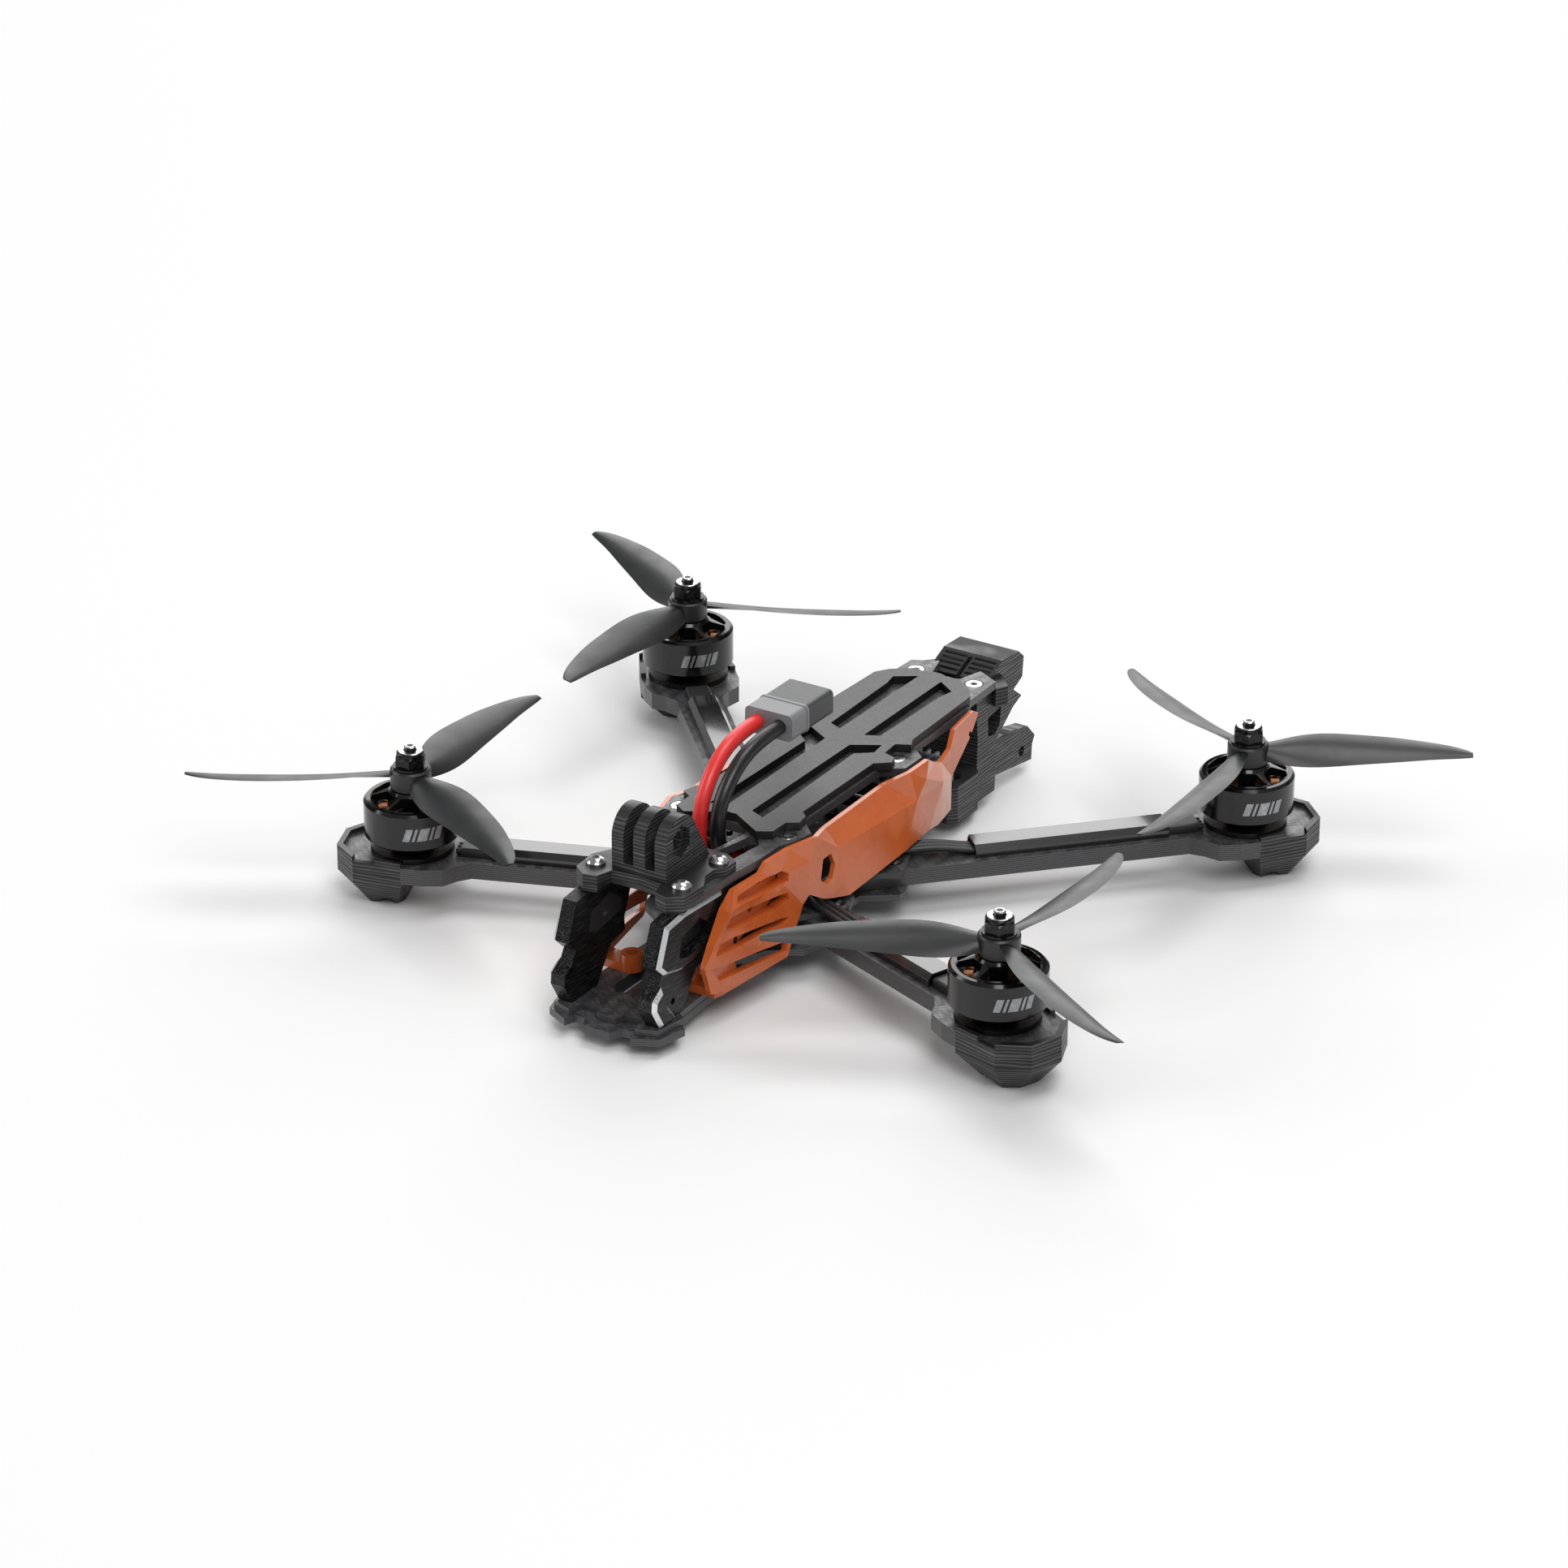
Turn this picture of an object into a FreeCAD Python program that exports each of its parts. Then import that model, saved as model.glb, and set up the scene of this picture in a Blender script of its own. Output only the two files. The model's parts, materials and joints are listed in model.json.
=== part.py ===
import FreeCAD, Part
import math
import os
import Sketcher
from FreeCAD import Placement, Rotation, Vector

# A five-inch racing quadcopter. +Z is up, the nose points to -Y and +X is the craft's left.
# Heights start at the ground under the feet; plan positions start at the middle of the four motors
# and move together at the end, so that the craft's own box is centred on the origin.

SIZES = [
    # plan layout
    ("motor_x_front", 97.0, "half distance between the front motors"),
    ("motor_x_rear", 96.0, "half distance between the rear motors"),
    ("motor_y", 71.3, "motor row to the middle, fore and aft"),
    ("front_root_y", -38.5, "where a front arm's middle line meets its root"),
    ("rear_root_y", -17.4, "where a rear arm's middle line meets its root"),
    ("root_edge", 3.75, "stack bolts to the end of the arm roots"),
    ("root_screw_x", 26.0, "arm screws, each side of the middle"),
    ("root_screw_edge", 2.6, "arm screws to the arm's inner side"),
    # stack of the frame, from the ground up
    ("foot_height", 10.0, "underside of the arms above the ground"),
    ("arm_thickness", 5.0, "arm plate"),
    ("base_plate_t", 2.0, "bottom plate"),
    ("nose_plate_t", 2.0, "nose plate under the bottom plate"),
    ("skid_plate_t", 2.2, "skid plate under the nose plate"),
    ("clamp_plate_t", 1.8, "middle plate that clamps the arms"),
    ("post_length", 21.8, "standoffs between the middle and top plates"),
    ("top_plate_t", 2.4, "top plate"),
    ("pad_t", 2.5, "battery pad"),
    # arms and what sits on them
    ("arm_width", 14.0, "arm plate"),
    ("pad_half_width", 14.6, "motor end of the arm, half width"),
    ("bumper_reach", 21.0, "motor axis to the outer face of the bumper"),
    ("bumper_face", 5.2, "outer face of the bumper, half width"),
    ("bumper_shoulder", 12.6, "bumper beside the motor, half width"),
    ("bumper_wall", 1.6, "bumper wall"),
    ("bumper_rim", 1.4, "bumper rim above the arm"),
    ("bumper_skirt", 1.6, "bumper wall below the arm"),
    ("sleeve_width", 9.4, "wire sleeve"),
    ("sleeve_height", 3.7, "wire sleeve"),
    ("sleeve_wall", 0.8, "wire sleeve"),
    ("front_sleeve_length", 37.5, "wire sleeve on a front arm"),
    ("rear_sleeve_length", 57.5, "wire sleeve on a rear arm"),
    ("sleeve_start", 24.5, "motor axis to the near end of the sleeve"),
    ("wire_diameter", 1.8, "motor wire"),
    ("wire_pitch", 2.0, "between neighbouring motor wires"),
    ("wire_shift", 1.2, "sideways step of the wires round the arm screws"),
    # motors
    ("bell_radius", 13.75, "rotor can"),
    ("bell_bore", 12.15, "inside of the magnet ring"),
    ("bell_gap", 4.8, "arm to the lower edge of the can"),
    ("bell_height", 11.3, "can, lower edge to rim"),
    ("dome_height", 2.9, "rim to the prop seat"),
    ("shaft_radius", 2.5, "motor shaft"),
    ("shaft_end_radius", 1.7, "motor shaft above the nut"),
    ("running_clearance", 0.05, "shaft in its bearing tube, radial"),
    ("stator_radius", 11.0, "stator iron"),
    ("stator_height", 7.0, "stator iron"),
    ("tube_radius", 4.6, "bearing tube"),
    ("motor_foot_t", 1.6, "motor base flange"),
    ("motor_foot_radius", 12.0, "motor base flange"),
    ("mount_circle", 8.0, "motor screws to the axis"),
    ("motor_screw_d", 3.0, "motor screw thread"),
    # propellers
    ("prop_radius", 64.5, "propeller tip"),
    ("hub_radius", 5.9, "propeller hub"),
    ("hub_height", 6.3, "propeller hub"),
    ("blade_root_pitch", 34.0, "blade angle at the hub, degrees"),
    ("blade_tip_pitch", 11.0, "blade angle at the tip, degrees"),
    ("nut_flat", 8.0, "prop nut across flats"),
    ("nut_height", 5.3, "prop nut with flange and collar"),
    ("shaft_over_nut", 1.4, "shaft end above the nut"),
    # body
    ("body_half_width", 17.2, "top plate beside the battery pad"),
    ("panel_wall", 1.4, "side panel"),
    ("panel_gap", 0.3, "side panel to the plates"),
    ("panel_nose_x", 18.8, "inner face of the side panel's thick nose"),
    ("cage_inner_x", 12.0, "inner face of a cage plate"),
    ("cage_t", 4.0, "cage plate"),
    ("cage_relief", 1.6, "raised frames on a cage plate"),
    ("cage_bevel", 1.1, "bevel of the raised frames"),
    ("insert_t", 2.0, "camera bracket inside the cage plate"),
    ("prong_width", 3.8, "accessory mount prong"),
    ("prong_gap", 3.2, "slot between the prongs"),
    ("prong_radius", 7.5, "accessory mount prong"),
    ("prong_bore", 5.2, "cross hole of the accessory mount"),
    ("prong_axis_lift", 12.1, "cross hole above the top plate"),
    ("mount_base_t", 2.7, "accessory mount base"),
    ("post_d", 5.0, "standoff"),
    ("screw_d", 3.0, "frame screws"),
    ("flush_head_d", 5.4, "sunk screw head"),
    ("flush_head_h", 1.3, "sunk screw head"),
    # electronics
    ("board_size", 38.0, "flight stack boards"),
    ("board_t", 1.6, "flight stack boards"),
    ("stack_pitch", 30.5, "flight stack hole spacing"),
    ("stack_lift", 2.4, "middle plate to the lower board"),
    ("stack_gap", 6.4, "between the two boards"),
    ("stack_y", -25.0, "centre of the flight stack"),
    ("cap_radius", 4.5, "filter capacitor"),
    ("cap_length", 20.0, "filter capacitor"),
    # power leads
    ("lead_d", 4.4, "power lead"),
    ("plug_width", 15.6, "power connector"),
    ("plug_height", 8.0, "power connector"),
    ("sheath_length", 9.0, "connector sheath"),
    ("plug_length", 13.0, "connector body"),
    ("lead_pitch", 7.2, "between the two leads at the plug"),
    ("lead_start_pitch", 10.4, "between the two leads at the speed controller"),
    ("plug_lift", 19.2, "battery pad to the middle of the floating plug"),
]

doc = FreeCAD.newDocument("RacingDrone")
sheet = doc.addObject("Spreadsheet::Sheet", "Sizes")
for row, (alias, value, note) in enumerate(SIZES, 1):
    sheet.set("A%d" % row, note)
    sheet.set("B%d" % row, str(value))
    sheet.setAlias("B%d" % row, alias)
doc.recompute()
nodes = []
cord_labels = ["power_lead_red", "power_lead_black", "connector_sheath", "connector_body", "connector_pins"]


def size(alias):
    return float(sheet.get(alias))


# ---- heights worked out once, for code and for expressions ----
arm_z = size("foot_height")
clamp_z = arm_z + size("arm_thickness")
deck_z = clamp_z + size("clamp_plate_t")
top_z = deck_z + size("post_length")
pad_z = top_z + size("top_plate_t")
base_z = arm_z - size("base_plate_t")
nose_z = base_z - size("nose_plate_t")
skid_z = nose_z - size("skid_plate_t")
CLAMP = "Sizes.foot_height + Sizes.arm_thickness"
DECK = CLAMP + " + Sizes.clamp_plate_t"
TOP = DECK + " + Sizes.post_length"
PAD = TOP + " + Sizes.top_plate_t"
BASE = "Sizes.foot_height - Sizes.base_plate_t"
NOSE = BASE + " - Sizes.nose_plate_t"
SKID = NOSE + " - Sizes.skid_plate_t"
SIDES = [("front_left", 1, -1), ("front_right", -1, -1), ("rear_left", 1, 1), ("rear_right", -1, 1)]


def motor_centre(side, end):
    reach = size("motor_x_front") if end < 0 else size("motor_x_rear")
    return Vector(side * reach, end * size("motor_y"), 0)


def arm_direction(side, end):
    root_y = size("front_root_y") if end < 0 else size("rear_root_y")
    return (motor_centre(side, end) - Vector(side * root_x(), root_y, 0)).normalize()


def arm_frame(side, end):
    """Placement with local X along the arm, outwards, and its origin on the motor axis."""
    along = arm_direction(side, end)
    heading = math.degrees(math.atan2(along.y, along.x))
    return Placement(motor_centre(side, end), Rotation(Vector(0, 0, 1), heading))


def root_x():
    return size("stack_pitch") / 2 - size("root_edge")


def keep(label, obj):
    obj.Label = label
    nodes.append(obj)
    return obj


def feature(label, shape):
    obj = doc.addObject("Part::Feature", label)
    obj.Shape = shape
    return keep(label, obj)


def mirrored(half):
    """A closed outline from its left half, listed from the front of the middle line to the back."""
    return half + [(-x, y) for x, y in reversed(half) if x > 0]


def both(points):
    """The same loop on the left and on the right."""
    return [points, [(-x, y) for x, y in points]]


def prism(points, low, height):
    """Solid prism over a plan outline."""
    loop = Part.makePolygon([Vector(x, y, low) for x, y in points + points[:1]])
    return Part.Face(loop).extrude(Vector(0, 0, height))


def side_prism(points, low_x, width):
    """Solid prism over an outline drawn in the side view, as (y, z) pairs."""
    loop = Part.makePolygon([Vector(low_x, y, z) for y, z in points + points[:1]])
    return Part.Face(loop).extrude(Vector(width, 0, 0))


def cylinder(radius, height, base, axis=Vector(0, 0, 1)):
    return Part.makeCylinder(radius, height, base, axis)


# ---- sketch-based bodies ----
def new_body(label):
    return keep(label, doc.addObject("PartDesign::Body", label))


def plane_of(body, role):
    return next(item for item in body.Origin.OriginFeatures if item.Role == role)


def sketch_on(body, name, role, loops, rings=()):
    """Closed straight-sided loops, and circles given as (x, y, radius expression)."""
    sketch = body.newObject("Sketcher::SketchObject", name)
    sketch.AttachmentSupport = [(plane_of(body, role), "")]
    sketch.MapMode = "FlatFace"
    for loop in loops:
        first = sketch.GeometryCount
        corners = [Vector(x, y, 0) for x, y in loop]
        for start, end in zip(corners, corners[1:] + corners[:1]):
            sketch.addGeometry(Part.LineSegment(start, end), False)
        for step in range(len(corners)):
            follower = first + (step + 1) % len(corners)
            sketch.addConstraint(Sketcher.Constraint("Coincident", first + step, 2, follower, 1))
    for x, y, radius in rings:
        ring = sketch.addGeometry(Part.Circle(Vector(x, y, 0), Vector(0, 0, 1), 1.0), False)
        rule = sketch.addConstraint(Sketcher.Constraint("Radius", ring, 1.0))
        sketch.setExpression("Constraints[%d]" % rule, radius)
    return sketch


def pad(body, sketch, length):
    step = body.newObject("PartDesign::Pad", sketch.Name + "Pad")
    step.Profile = sketch
    step.setExpression("Length", length)
    return step


def plate(label, outline, thickness, height, holes=(), rings=()):
    """A flat plate: outline with straight-sided and round holes, lifted to its height."""
    body = new_body(label)
    pad(body, sketch_on(body, label + "_outline", "XY_Plane", [outline] + list(holes), rings), thickness)
    body.setExpression("Placement.Base.z", height)
    return body


def sink_heads(body, spots, radius, depth, thickness):
    """Round seats for screw heads, cut down from the plate's top."""
    doc.recompute()
    whole = body.Shape.Volume
    sketch = sketch_on(body, body.Label + "_seats", "XY_Plane", [], [(x, y, radius) for x, y in spots])
    sketch.setExpression("AttachmentOffset.Base.z", thickness)
    cut = body.newObject("PartDesign::Pocket", body.Label + "_sunk")
    cut.Profile = sketch
    cut.setExpression("Length", depth)
    doc.recompute()
    if cut.Shape.Volume >= whole:
        raise RuntimeError(body.Label + ": the seats cut nothing")


def revolved(label, profile, windows=None, count=0):
    """A turned piece from a half profile as (radius, z) pairs, with windows cut through it."""
    body = new_body(label)
    turned = body.newObject("PartDesign::Revolution", label + "_turned")
    sketch = sketch_on(body, label + "_profile", "XZ_Plane", [profile])
    turned.Profile = sketch
    turned.ReferenceAxis = (sketch, ["V_Axis"])
    turned.Angle = 360.0
    if windows:
        doc.recompute()
        whole = turned.Shape.Volume
        cut = body.newObject("PartDesign::Pocket", label + "_window")
        outline = sketch_on(body, label + "_window_outline", "XY_Plane", [windows])
        cut.Profile = outline
        cut.Type = "ThroughAll"
        cut.Reversed = True
        pattern = body.newObject("PartDesign::PolarPattern", label + "_windows")
        pattern.Originals = [cut]
        pattern.Axis = (outline, ["N_Axis"])
        pattern.Angle = 360.0
        pattern.Occurrences = count
        body.Tip = pattern
        doc.recompute()
        if pattern.Shape.Volume >= whole:
            raise RuntimeError(label + ": the windows cut nothing")
    return body


# ---- arms ----
def tongue(inset):
    """Outer end of the arm, in the arm's own frame, drawn in from the bumper's outside."""
    reach = size("bumper_reach")
    face = (reach - inset, size("bumper_face") - inset / 2)
    shoulder = (reach - 6.5 - inset / 2, size("bumper_shoulder") - inset)
    return [face, shoulder, (0.0, size("pad_half_width") - inset)]


def arm_outline(side, end):
    wide = size("pad_half_width")
    half = size("arm_width") / 2
    wall = size("bumper_wall")
    turn = arm_frame(side, end)
    along = arm_direction(side, end)
    across = Vector(-along.y, along.x, 0)
    centre = motor_centre(side, end)
    upper = tongue(wall) + [(0.0, wide), (-6.0, wide), (-12.1, wide - 1.2), (-15.2, half + 2.7), (-19.0, half)]
    lower = [(u, -v) for u, v in reversed(upper)]
    corners = [turn.multVec(Vector(u, v, 0)) for u, v in upper]
    for edge in (half, -half):
        start = centre + across * edge
        reach = (side * root_x() - start.x) / along.x
        corners.append(start + along * reach)
    corners += [turn.multVec(Vector(u, v, 0)) for u, v in lower]
    return [(point.x, point.y) for point in corners]


def motor_holes(side, end):
    spread = size("mount_circle")
    spots = [(spread, 0), (0, spread), (-spread, 0), (0, -spread)]
    turn = arm_frame(side, end)
    turned = Rotation(Vector(0, 0, 1), 45)
    return [turn.multVec(turned.multVec(Vector(x, y, 0))) for x, y in spots]


def root_hole(side, end):
    """Screw through the clamp plate, the arm root and the bottom plate, on the arm's inner side."""
    along = arm_direction(side, end)
    centre = motor_centre(side, end)
    aside = size("arm_width") / 2 - size("root_screw_edge")
    inward = Vector(-along.y, along.x, 0) * (-side * end * aside)
    x = side * size("root_screw_x")
    reach = (x - centre.x - inward.x) / along.x
    return centre + inward + along * reach


def make_arm(name, side, end):
    screw = "Sizes.motor_screw_d / 2"
    rings = [(hole.x, hole.y, screw) for hole in motor_holes(side, end)]
    centre = motor_centre(side, end)
    rings.append((centre.x, centre.y, "Sizes.shaft_radius + 1.5"))
    root = root_hole(side, end)
    rings.append((root.x, root.y, "Sizes.screw_d / 2"))
    half = size("stack_pitch") / 2
    rings.append((side * half, size("stack_y") + end * half, "Sizes.screw_d / 2"))
    plate("arm_" + name, arm_outline(side, end), "Sizes.arm_thickness", "Sizes.foot_height", rings=rings)


def make_bumper(name, side, end):
    """Printed boot round the arm end, standing on a tapered foot."""
    reach = size("bumper_reach")
    low = arm_z - size("bumper_skirt")
    rim = clamp_z + size("bumper_rim")
    outer = tongue(0)
    outer = outer + [(u, -v) for u, v in reversed(outer)]
    inner = tongue(size("bumper_wall"))
    inner = inner + [(u, -v) for u, v in reversed(inner)]
    wall = prism(outer, low, rim - low)
    toe = [(reach - 7, 3.2), (reach - 10, 7.0), (3.0, 7.0), (1.5, 4.0)]
    toe = toe + [(u, -v) for u, v in reversed(toe)]
    heel = tongue(0) + [(0.0, 8.0)]
    heel = heel + [(u, -v) for u, v in reversed(heel)]
    loops = []
    for points, height in ((heel, low), (toe, 0.0)):
        loops.append(Part.makePolygon([Vector(u, v, height) for u, v in points + points[:1]]))
    foot = Part.makeLoft(loops, True, True)
    slot = prism(inner, arm_z, rim - arm_z + 1)
    notch = [(8.0, 9.0), (14.5, 9.0), (14.5, 16.0), (8.0, 16.0)]
    gaps = [prism([(u, v * way) for u, v in notch], clamp_z, 5.0) for way in (1, -1)]
    step = size("mount_circle") * math.sqrt(0.5)
    gaps += [cylinder(3.2, arm_z, Vector(step, step * way, 0)) for way in (1, -1)]
    shape = wall.fuse(foot).removeSplitter().cut([slot] + gaps)
    piece = feature("bumper_" + name, shape)
    piece.Placement = arm_frame(side, end)


def make_sleeve(name, side, end):
    """Open-bottomed cover over the three motor wires."""
    length = size("front_sleeve_length") if end < 0 else size("rear_sleeve_length")
    half = size("sleeve_width") / 2
    tall = size("sleeve_height")
    wall = size("sleeve_wall")
    outside = [(-half, 0), (-half, tall * 0.55), (-half + 1.3, tall)]
    outside += [(-y, z) for y, z in reversed(outside)]
    inside = [(half - wall, 0), (half - wall, tall * 0.5), (half - 1.5, tall - wall)]
    inside += [(-y, z) for y, z in reversed(inside)]
    body = new_body("wire_sleeve_" + name)
    sketch = sketch_on(body, "sleeve_section_" + name, "YZ_Plane", [outside + inside])
    step = pad(body, sketch, "Sizes.%s_sleeve_length" % ("front" if end < 0 else "rear"))
    doc.recompute()
    if abs(step.Shape.BoundBox.XLength - length) > 0.01:
        raise RuntimeError("sleeve length")
    spot = arm_frame(side, end)
    start = spot.multVec(Vector(-size("sleeve_start") - length, 0, clamp_z))
    body.Placement = Placement(start, spot.Rotation)


# ---- motors ----
def bell_base():
    return clamp_z + size("bell_gap")


def seat_z():
    return bell_base() + size("bell_height") + size("dome_height")


def make_motor_base(name, side, end):
    tube = size("tube_radius")
    bore = size("shaft_radius") + size("running_clearance")
    flange = size("motor_foot_radius")
    foot = size("motor_foot_t")
    stator_low = size("bell_gap") + 0.5
    tall = stator_low + size("stator_height")
    profile = [(bore, 0), (flange, 0), (flange, foot), (tube + 1.4, foot), (tube + 1.4, stator_low)]
    profile += [(tube, stator_low), (tube, tall), (bore, tall)]
    body = revolved("motor_base_" + name, profile)
    spot = arm_frame(side, end)
    body.Placement = Placement(spot.Base + Vector(0, 0, clamp_z), spot.Rotation)


def stator_blank():
    """Laminated iron with twelve poles."""
    radius = size("stator_radius")
    tall = size("stator_height")
    yoke = cylinder(6.4, tall, Vector(0, 0, 0))
    poles = []
    for step in range(12):
        stem = Part.makeBox(radius - 5.5, 1.5, tall, Vector(5.0, -0.75, 0))
        shoe = Part.makeBox(1.3, 4.6, tall, Vector(radius - 1.5, -2.3, 0))
        pole = stem.fuse(shoe)
        pole.rotate(Vector(0, 0, 0), Vector(0, 0, 1), step * 30.0)
        poles.append(pole)
    iron = yoke.fuse(poles).common(cylinder(radius, tall, Vector(0, 0, 0)))
    return iron.cut(cylinder(size("tube_radius"), tall, Vector(0, 0, 0))).removeSplitter()


def winding_blank():
    """Copper round each pole, as one closed collar per pole."""
    tall = size("stator_height")
    turns = []
    for step in range(12):
        depth = size("stator_radius") - 1.6 - 6.9
        collar = Part.makeBox(depth, 2.9, tall + 2.0, Vector(6.9, -1.45, -1.0))
        collar = collar.cut(Part.makeBox(depth, 1.5, tall, Vector(6.9, -0.75, 0)))
        collar = collar.makeFillet(0.5, [edge for edge in collar.Edges if outer_corner(edge)])
        collar.rotate(Vector(0, 0, 0), Vector(0, 0, 1), step * 30.0)
        turns.append(collar)
    return turns


def outer_corner(edge):
    """Long outside edges of a winding, which run along the pole."""
    middle = edge.CenterOfMass
    along = abs(edge.Vertexes[0].X - edge.Vertexes[-1].X) > 0.5
    return along and abs(middle.y) > 1.4


def make_motor_insides():
    iron, copper = [], []
    blank, turns = stator_blank(), winding_blank()
    for name, side, end in SIDES:
        spot = motor_centre(side, end) + Vector(0, 0, bell_base() + 0.5)
        iron.append(blank.translated(spot))
        copper += [turn.translated(spot) for turn in turns]
    feature("stators", Part.makeCompound(iron))
    feature("motor_windings", Part.makeCompound(copper))


def make_bell(name, side, end):
    """Rotor can with its shaft; six windows leave spokes between the rim and the hub."""
    outer, bore = size("bell_radius"), size("bell_bore")
    tall, dome = size("bell_height"), size("dome_height")
    hub, shaft = size("hub_radius"), size("shaft_radius")
    nut_top = tall + dome + size("hub_height") + size("nut_height")
    top = nut_top + size("shaft_over_nut")
    thin = size("shaft_end_radius")
    inner_top = tall - 1.5
    hub_low = tall + dome - 3.4
    low = 0.8 - size("bell_gap")
    profile = [(0, low), (shaft, low), (shaft, hub_low), (hub - 0.6, hub_low), (bore - 0.2, inner_top)]
    profile += [ (bore, inner_top - 0.4), (bore, 0), (outer - 0.5, 0), (outer, 0.5)]
    profile += [(outer, tall - 0.8), (outer - 0.8, tall), (outer - 2.0, tall), (hub + 0.6, tall + dome - 0.8)]
    profile += [(hub, tall + dome), (shaft, tall + dome), (shaft, nut_top - 0.6)]
    profile += [(thin, nut_top - 0.6), (thin, top - 0.3), (thin - 0.3, top), (0, top)]
    near, far = hub + 0.7, bore - 0.9
    window = [(near, -2.4), (far - 1.5, -5.4), (far, -3.4), (far, 3.4), (far - 1.5, 5.4), (near, 2.4)]
    body = revolved("bell_" + name, profile, window, 6)
    spot = motor_centre(side, end)
    body.Placement = Placement(spot + Vector(0, 0, bell_base()), Rotation())


# ---- propellers ----
def blade_section(radius, lead, trail, pitch, thick):
    """One aerofoil slice across the blade; the leading edge is towards +Y and higher."""
    lean = math.radians(pitch)
    middle = 0.5 * (lead + trail)
    chord = lead - trail

    def spot(along, up):
        y = middle + along * math.cos(lean) - up * math.sin(lean)
        return Vector(radius, y, along * math.sin(lean) + up * math.cos(lean))

    steps = [-0.5, -0.3, 0.0, 0.3, 0.5]
    upper = [spot(chord * s, thick * (1 - 4 * s * s) + 0.12 * chord * (0.25 - s * s)) for s in steps]
    lower = [spot(chord * s, -0.15 * thick * (1 - 4 * s * s) + 0.12 * chord * (0.25 - s * s)) for s in steps]
    over, under = Part.BSplineCurve(), Part.BSplineCurve()
    over.interpolate(upper)
    under.interpolate(lower[::-1])
    return Part.Wire([over.toShape(), under.toShape()])


def blade():
    """Sickle-shaped blade that bulges towards its direction of travel and ends in a narrow cut tip."""
    tip = size("prop_radius")
    root_pitch, tip_pitch = size("blade_root_pitch"), size("blade_tip_pitch")
    shape = [(0.075, 3.3, -3.3, 1.7), (0.17, 5.4, -4.6, 1.25), (0.30, 8.0, -4.8, 1.0), (0.45, 8.8, -3.8, 0.85)]
    shape += [(0.60, 8.5, -2.8, 0.75), (0.75, 7.4, -1.8, 0.65), (0.88, 5.5, -1.2, 0.55), (0.95, 3.8, -1.1, 0.5)]
    shape += [(1.0, 1.7, -0.9, 0.35)]
    slices = []
    for share, lead, trail, thick in shape:
        pitch = root_pitch + (tip_pitch - root_pitch) * share ** 0.7
        slices.append(blade_section(share * tip, lead, trail, pitch, thick))
    return Part.makeLoft(slices, True, False)


def make_prop(name, side, end, blank):
    """Three blades on a round hub. Left-front and right-rear turn clockwise seen from above."""
    clockwise = side * end < 0
    hub, tall = size("hub_radius"), size("hub_height")
    core = cylinder(hub, tall, Vector(0, 0, 0))
    core = core.makeChamfer(0.5, [edge for edge in core.Edges if len(edge.Vertexes) == 1])
    wing = blank.copy()
    if clockwise:
        wing = wing.mirror(Vector(0, 0, 0), Vector(0, 1, 0))
    wing.translate(Vector(0, 0, tall * 0.5))
    first = 90.0 if end < 0 else -90.0
    wings = []
    for step in range(3):
        turned = wing.copy()
        turned.rotate(Vector(0, 0, 0), Vector(0, 0, 1), first + 120.0 * step)
        wings.append(turned)
    shape = core.fuse(wings).cut(cylinder(size("shaft_radius"), tall, Vector(0, 0, 0)))
    piece = feature("propeller_" + name, shape)
    piece.Placement = Placement(motor_centre(side, end) + Vector(0, 0, seat_z()), Rotation())


def hexagon(flat, low, height):
    radius = flat / math.sqrt(3)
    turns = [math.radians(60 * k) for k in range(6)]
    return prism([(radius * math.cos(turn), radius * math.sin(turn)) for turn in turns], low, height)


def make_nut(name, side, end):
    """Flanged lock nut with a round collar, threaded on the shaft."""
    tall, flat = size("nut_height"), size("nut_flat")
    flange = cylinder(flat * 0.62, 0.8, Vector(0, 0, 0))
    taper = Part.makeCone(flat * 0.9, flat * 0.52, tall - 1.3, Vector(0, 0, 0))
    sides = hexagon(flat, 0.8, tall - 2.1).common(taper)
    collar = cylinder(flat * 0.49, tall - 0.8, Vector(0, 0, 0.8))
    collar = collar.makeChamfer(0.5, [edge for edge in collar.Edges if edge.BoundBox.ZMin > tall - 0.01])
    shape = flange.fuse([sides, collar]).cut(cylinder(size("shaft_radius"), tall, Vector(0, 0, 0)))
    piece = feature("prop_nut_" + name, shape)
    seat = Vector(0, 0, seat_z() + size("hub_height"))
    piece.Placement = Placement(motor_centre(side, end) + seat, Rotation())


# ---- swept round wires ----
def swept(points, diameter, label):
    """Tube on straight runs joined by tangent arcs, each as large as its two runs allow."""
    runs = [(b - a).Length for a, b in zip(points, points[1:])]
    edges, last, tight = [], points[0], 1e9
    for k in range(1, len(points) - 1):
        before = (points[k] - points[k - 1]).normalize()
        after = (points[k + 1] - points[k]).normalize()
        half = before.getAngle(after) / 2
        if half < 1e-4:
            continue
        back = 0.45 * min(runs[k - 1], runs[k])
        radius = back / math.tan(half)
        tight = min(tight, radius)
        start, stop = points[k] - before * back, points[k] + after * back
        inward = (after - before).normalize()
        middle = points[k] + inward * (radius / math.cos(half) - radius)
        edges += [Part.LineSegment(last, start).toShape(), Part.Arc(start, middle, stop).toShape()]
        last = stop
    edges.append(Part.LineSegment(last, points[-1]).toShape())
    path = Part.Wire(edges)
    ring = Part.Circle(points[0], points[1] - points[0], diameter / 2).toShape()
    tube = path.makePipeShell([Part.Wire(ring)], True, True)
    expected = math.pi * diameter ** 2 / 4 * path.Length
    if abs(tube.Volume / expected - 1) > 0.02:
        raise RuntimeError(label + ": swept volume is off")
    print(label, "length %.1f, tightest radius %.1f" % (path.Length, tight))
    return tube


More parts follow.
